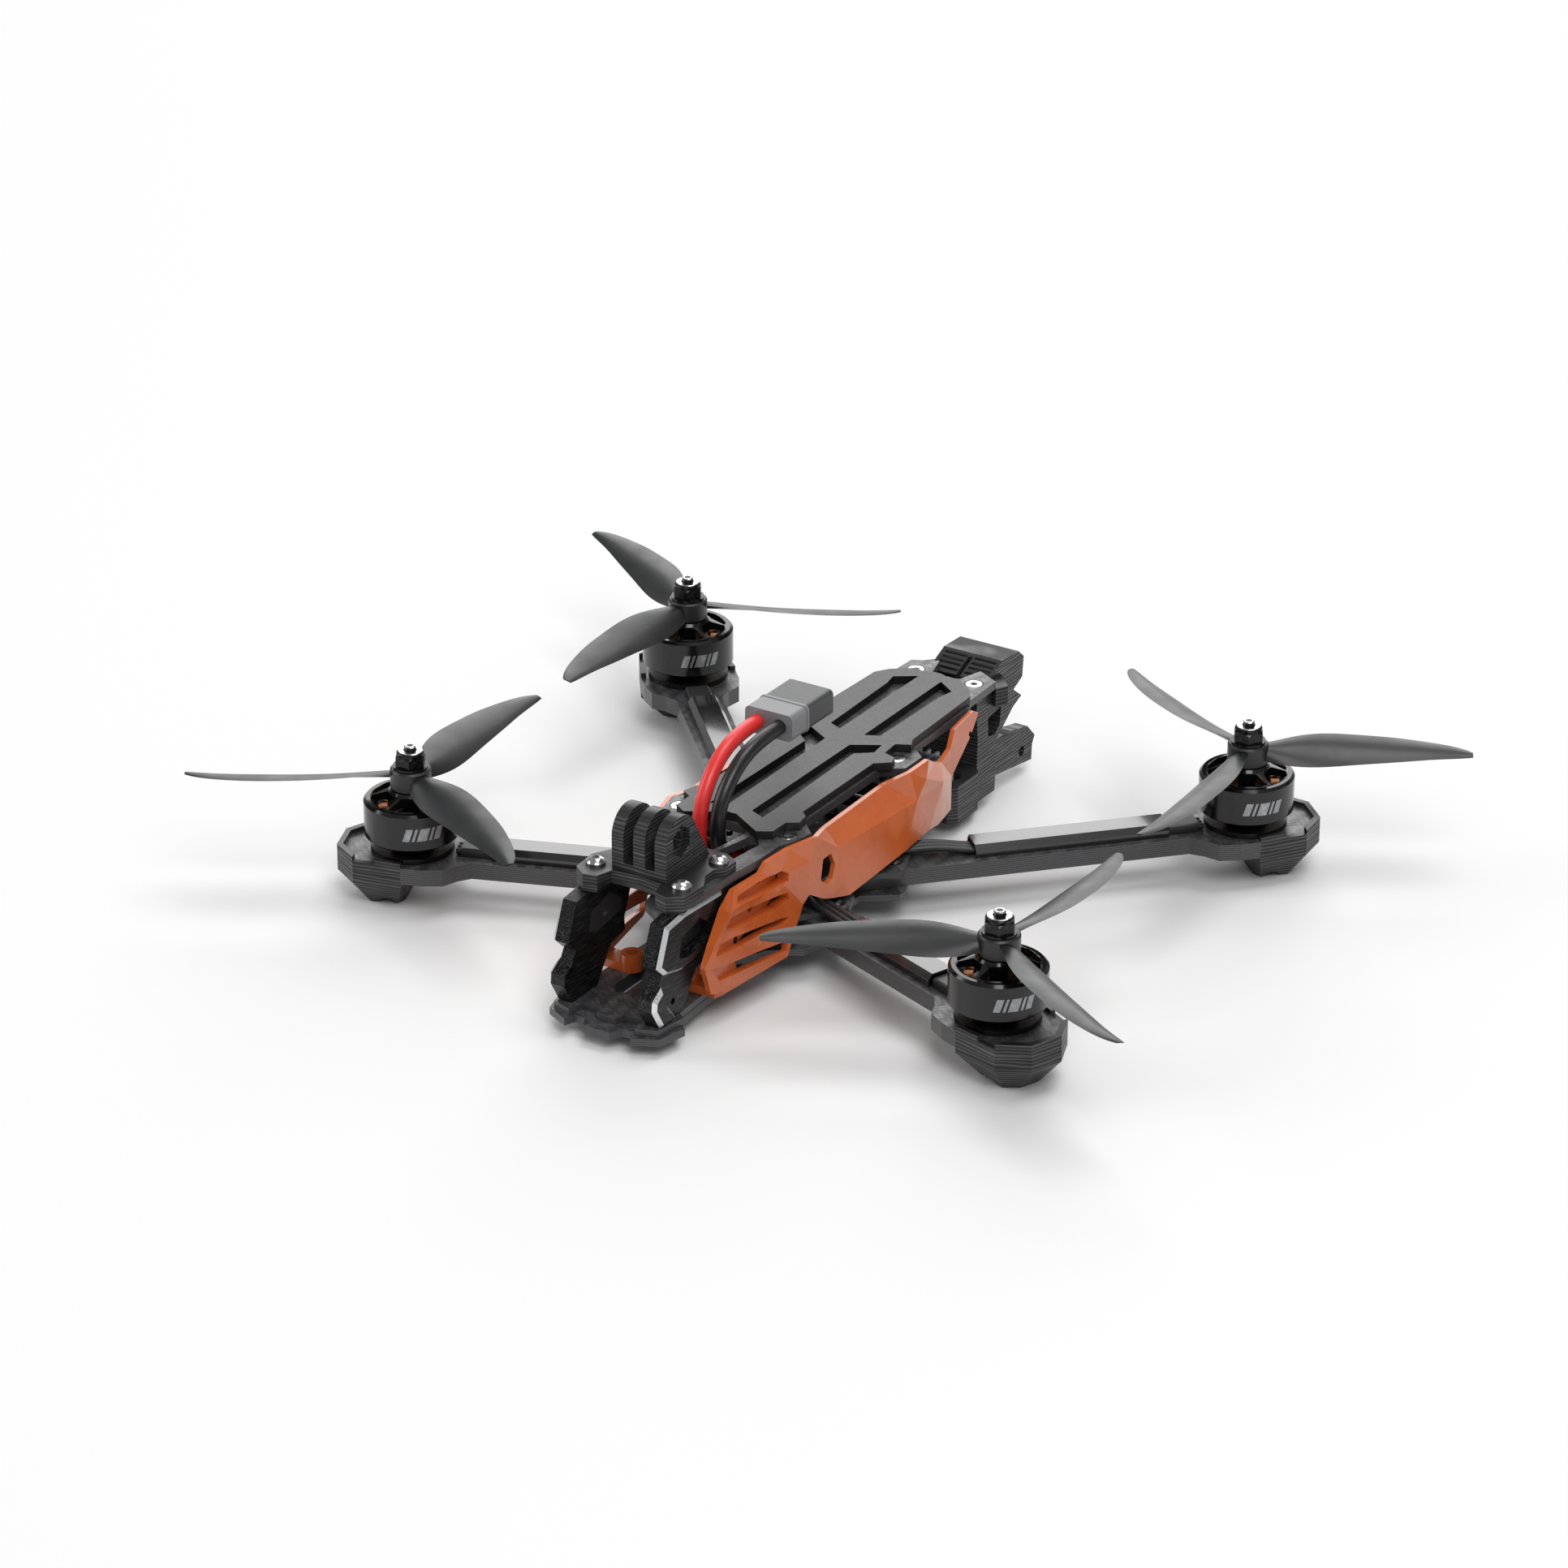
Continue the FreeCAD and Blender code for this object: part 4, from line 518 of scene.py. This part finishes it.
def bladeMaterial():
    # moulded plastic, satin, with faint flow lines
    paint = Paint("bladePlastic", Coat_Weight=0.12, Coat_Roughness=0.2)
    flow = paint.noise(120.0, 3.0)
    grain = paint.noise(1400.0, 2.0)
    paint.feed("Base Color", paint.mixColour(flow, bladeLook["colour"], bladeLook["sheen"]))
    paint.feed("Roughness", paint.fade(flow, 0.3, 0.7, 0.36, 0.46))
    paint.bump(grain, 0.000006, 0.15)
    return paint.material


panelLook = {
    "deep": (0.58, 0.11, 0.018),
    "bright": (0.66, 0.14, 0.028),
    # edge: painted highlight colour, mixed in towards grazing angles
    "edge": (1.0, 0.46, 0.22),
    "alpha": 0.93,
}


def panelMaterial():
    # translucent orange, with a painted highlight: the colour turns paler towards grazing angles
    paint = Paint("panelOrange", Subsurface_Weight=0.08, Subsurface_Scale=0.002,
                  Subsurface_Radius=(1.0, 0.35, 0.1), Coat_Weight=0.5, Coat_Roughness=0.08)
    rim = paint.node("ShaderNodeLayerWeight", {}, {"Blend": 0.35}, out=1)
    cloud = paint.noise(90.0, 3.0)
    body = paint.mixColour(paint.fade(cloud, 0.25, 0.8), panelLook["deep"], panelLook["bright"])
    # painted highlight: paler colour towards grazing angles
    paint.feed("Base Color", paint.mixColour(paint.fade(rim, 0.45, 1.0, 0.0, 0.7), body, panelLook["edge"]))
    paint.feed("Roughness", paint.fade(cloud, 0.2, 0.8, 0.22, 0.34))
    paint.feed("Alpha", paint.fade(rim, 0.2, 0.9, panelLook["alpha"], 1.0))
    paint.bump(paint.noise(2200.0, 2.0), 0.00001, 0.35)
    return paint.material


cageLook = {"face": (0.007, 0.0075, 0.008), "line": (0.11, 0.11, 0.115), "bevel": (0.8, 0.81, 0.82)}


def cageMaterial():
    # dark anodised plate whose bevels are cut bright
    paint = Paint("cageAnodised")
    nx, ny, nz = paint.axes(paint.facing())
    slanted = paint.fade(abs(nx), 0.55, 0.65) * (1 - paint.fade(abs(nx), 0.76, 0.86))
    brushed = paint.noise(1.0, 3.0, paint.stretched((2500, 160, 4200)))
    tone = paint.mixColour(paint.fade(brushed, 0.42, 0.8), cageLook["face"], cageLook["line"])
    paint.feed("Base Color", paint.mixColour(slanted, tone, cageLook["bevel"]))
    paint.feed("Metallic", paint.fade(slanted, 0.0, 1.0, 0.7, 1.0))
    paint.feed("Roughness", paint.fade(brushed, 0.3, 0.7, 0.26, 0.46))
    paint.bump(brushed, 0.00002, 0.5)
    return paint.material


def bracketMaterial():
    # brushed plate, lines slanting
    paint = Paint("bracketBrushed", Metallic=0.8)
    values = {"Vector": paint.place(), "Rotation": (0.6, 0, 0), "Scale": (2500, 120, 6000)}
    turned = paint.node("ShaderNodeMapping", {}, values)
    lines = paint.noise(1.0, 3.0, turned)
    paint.feed("Base Color", paint.mixColour(lines, (0.02, 0.02, 0.022), (0.16, 0.16, 0.165)))
    paint.feed("Roughness", paint.fade(lines, 0.3, 0.7, 0.3, 0.5))
    paint.bump(lines, 0.00003, 0.8)
    return paint.material


# top and tint: painted sheen grey for upward faces; side: the sheet's own black
padLook = {"top": (0.06, 0.06, 0.062), "tint": (0.085, 0.085, 0.088), "side": (0.004, 0.004, 0.004)}


def padMaterial():
    # black grip sheet, with a painted sheen: upward faces painted grey, the cut edges left black
    paint = Paint("padRubber", Roughness=0.55)
    nx, ny, nz = paint.axes(paint.facing())
    top = paint.fade(nz, 0.6, 0.9)
    grain = paint.noise(1800.0, 3.0)
    cloud = paint.noise(40.0, 2.0)
    # painted sheen on the upward faces
    paintedSheenGrey = paint.mixColour(cloud * 0.5 + grain * 0.2, padLook["top"], padLook["tint"])
    paint.feed("Base Color", paint.mixColour(top, padLook["side"], paintedSheenGrey))
    paint.feed("Roughness", paint.fade(grain, 0.2, 0.8, 0.42, 0.6))
    paint.bump(grain, 0.00002, 0.5)
    return paint.material


def plasticMaterial(name, colour, tint, roughness, coat=0.0):
    # fine moulded texture with slow colour drift
    paint = Paint(name, Coat_Weight=coat, Coat_Roughness=0.1)
    drift = paint.noise(70.0, 2.0)
    grain = paint.noise(2400.0, 2.0)
    paint.feed("Base Color", paint.mixColour(drift * 0.7 + grain * 0.3, colour, tint))
    paint.feed("Roughness", paint.fade(grain, 0.2, 0.8, roughness * 0.85, roughness * 1.15))
    paint.bump(grain, 0.000012, 0.5)
    return paint.material


def copperMaterial():
    # enamelled wire lying in turns
    paint = Paint("copperTurns", Metallic=0.85)
    x, y, z = paint.axes(paint.place())
    turn = ((x + y + z) / 0.00055 * (2 * math.pi)).sum("SINE") * 0.5 + 0.5
    paint.feed("Base Color", paint.mixColour(turn, (0.28, 0.09, 0.03), (0.75, 0.33, 0.14)))
    paint.feed("Roughness", paint.fade(turn, 0.0, 1.0, 0.45, 0.22))
    paint.bump(turn, 0.0001, 0.8)
    return paint.material


def boardMaterial():
    # black solder mask with faint tracks and bright pads
    paint = Paint("boardMask", Coat_Weight=0.4, Coat_Roughness=0.2)
    values = {"Vector": paint.place(), "Scale": 620.0}
    tracks = paint.node("ShaderNodeTexVoronoi", {"distance": "MANHATTAN"}, values)
    values = {"Vector": paint.place(), "Scale": 330.0, "Randomness": 0.6}
    cells = paint.node("ShaderNodeTexVoronoi", {"distance": "CHEBYCHEV"}, values)
    padSpots = 1 - paint.fade(cells, 0.12, 0.15)
    base = paint.mixColour(paint.fade(tracks, 0.2, 0.5), (0.006, 0.008, 0.008), (0.018, 0.022, 0.022))
    paint.feed("Base Color", paint.mixColour(padSpots * 0.8, base, (0.5, 0.48, 0.42)))
    paint.feed("Metallic", padSpots * 0.8)
    paint.feed("Roughness", paint.fade(padSpots, 0.0, 1.0, 0.4, 0.28))
    paint.bump(tracks, 0.00003, 0.4)
    return paint.material


def leadMaterial(name, colour, tint):
    # soft silicone skin
    paint = Paint(name, Coat_Weight=0.2, Coat_Roughness=0.3, Subsurface_Weight=0.1, Subsurface_Scale=0.001)
    drift = paint.noise(160.0, 2.0)
    grain = paint.noise(3000.0, 2.0)
    paint.feed("Base Color", paint.mixColour(drift, colour, tint))
    paint.feed("Roughness", paint.fade(grain, 0.2, 0.8, 0.3, 0.42))
    paint.bump(grain, 0.00001, 0.4)
    return paint.material


finishes = {
    "carbon": carbonMaterial(),
    "printed_black": printedMaterial(),
    "sleeve_black": plasticMaterial("sleeveBlack", (0.006, 0.006, 0.0065), (0.012, 0.012, 0.013), 0.2, 1.0),
    "motor_alloy": metalMaterial("baseAlloy", *metalLook["base"]),
    "bell_black": metalMaterial("bellBlack", *metalLook["bell"]),
    "prop_black": bladeMaterial(),
    "nut_black": metalMaterial("nutBlack", *metalLook["nut"]),
    "stator_iron": metalMaterial("statorIron", *metalLook["iron"]),
    "copper": copperMaterial(),
    "wire_black": plasticMaterial("wireBlack", (0.012, 0.012, 0.012), (0.03, 0.03, 0.03), 0.4),
    "dark_steel": metalMaterial("darkSteel", *metalLook["dark"]),
    "bright_steel": metalMaterial("brightSteel", *metalLook["bright"]),
    "post_alloy": metalMaterial("postAlloy", *metalLook["post"]),
    "pad_rubber": padMaterial(),
    "panel_orange": panelMaterial(),
    "cage_alloy": cageMaterial(),
    "bracket_alloy": bracketMaterial(),
    "board_black": boardMaterial(),
    "module_grey": metalMaterial("moduleGrey", (0.3, 0.31, 0.32), (0.42, 0.43, 0.44), 0.4, 0.9),
    "capacitor_sleeve": plasticMaterial("capacitorSleeve", (0.01, 0.01, 0.014), (0.025, 0.025, 0.03), 0.25),
    "sheath_grey": plasticMaterial("sheathGrey", (0.19, 0.192, 0.2), (0.23, 0.232, 0.24), 0.42),
    "plug_dark": plasticMaterial("plugDark", (0.045, 0.046, 0.048), (0.065, 0.066, 0.068), 0.4),
    "lead_red": leadMaterial("leadRed", (0.75, 0.018, 0.02), (0.85, 0.05, 0.045)),
    "lead_black": leadMaterial("leadBlack", (0.003, 0.003, 0.003), (0.008, 0.008, 0.008)),
}


def paintPieces():
    slots = {part["node"]: part["material_slot"] for part in frame["record"]["subparts"]}
    for name, node in nodes.items():
        pieceSlots[node] = slots[name]
    for piece, slot in pieceSlots.items():
        piece.data.materials.clear()
        piece.data.materials.append(finishes[slot])


paintPieces()
print("materials:", len(finishes), "on", len(pieceSlots), "pieces")


studio = {
    "fill": 0.3,             # even light from all round
    "floor": 0.86,
    "lamps": {               # place, width and watts of each soft lamp
        "key": ((0.9, -0.9, 1.5), 0.9, 14),
        "side": ((-1.5, -0.7, 0.8), 0.9, 8),
        "back": ((-0.9, 1.8, 1.05), 1.8, 24),
        "top": ((0.3, 0.4, 1.9), 1.0, 14),
    },
}


def makeStudio():
    world = bpy.data.worlds.new("studio")
    bpy.context.scene.world = world
    world.use_nodes = True
    sky = world.node_tree.nodes["Background"]
    sky.inputs["Color"].default_value = (1, 1, 1, 1)
    sky.inputs["Strength"].default_value = studio["fill"]
    bm = bmesh.new()
    bmesh.ops.create_grid(bm, x_segments=1, y_segments=1, size=6)
    mesh = bpy.data.meshes.new("floor")
    bm.to_mesh(mesh)
    bm.free()
    floor = bpy.data.objects.new("floor", mesh)
    bpy.context.scene.collection.objects.link(floor)
    shade = studio["floor"]
    mesh.materials.append(Paint("floorPaper", Base_Color=(shade, shade, shade), Roughness=0.9).material)
    for name, (spot, size, power) in studio["lamps"].items():
        data = bpy.data.lights.new(name, "AREA")
        data.size = size
        data.energy = power
        lamp = bpy.data.objects.new(name, data)
        turn = (-Vector(spot)).to_track_quat("-Z", "Y").to_matrix().to_4x4()
        lamp.matrix_world = Matrix.Translation(spot) @ turn
        bpy.context.scene.collection.objects.link(lamp)


makeStudio()
bpy.context.scene.view_settings.view_transform = "Standard"
print("studio ready")
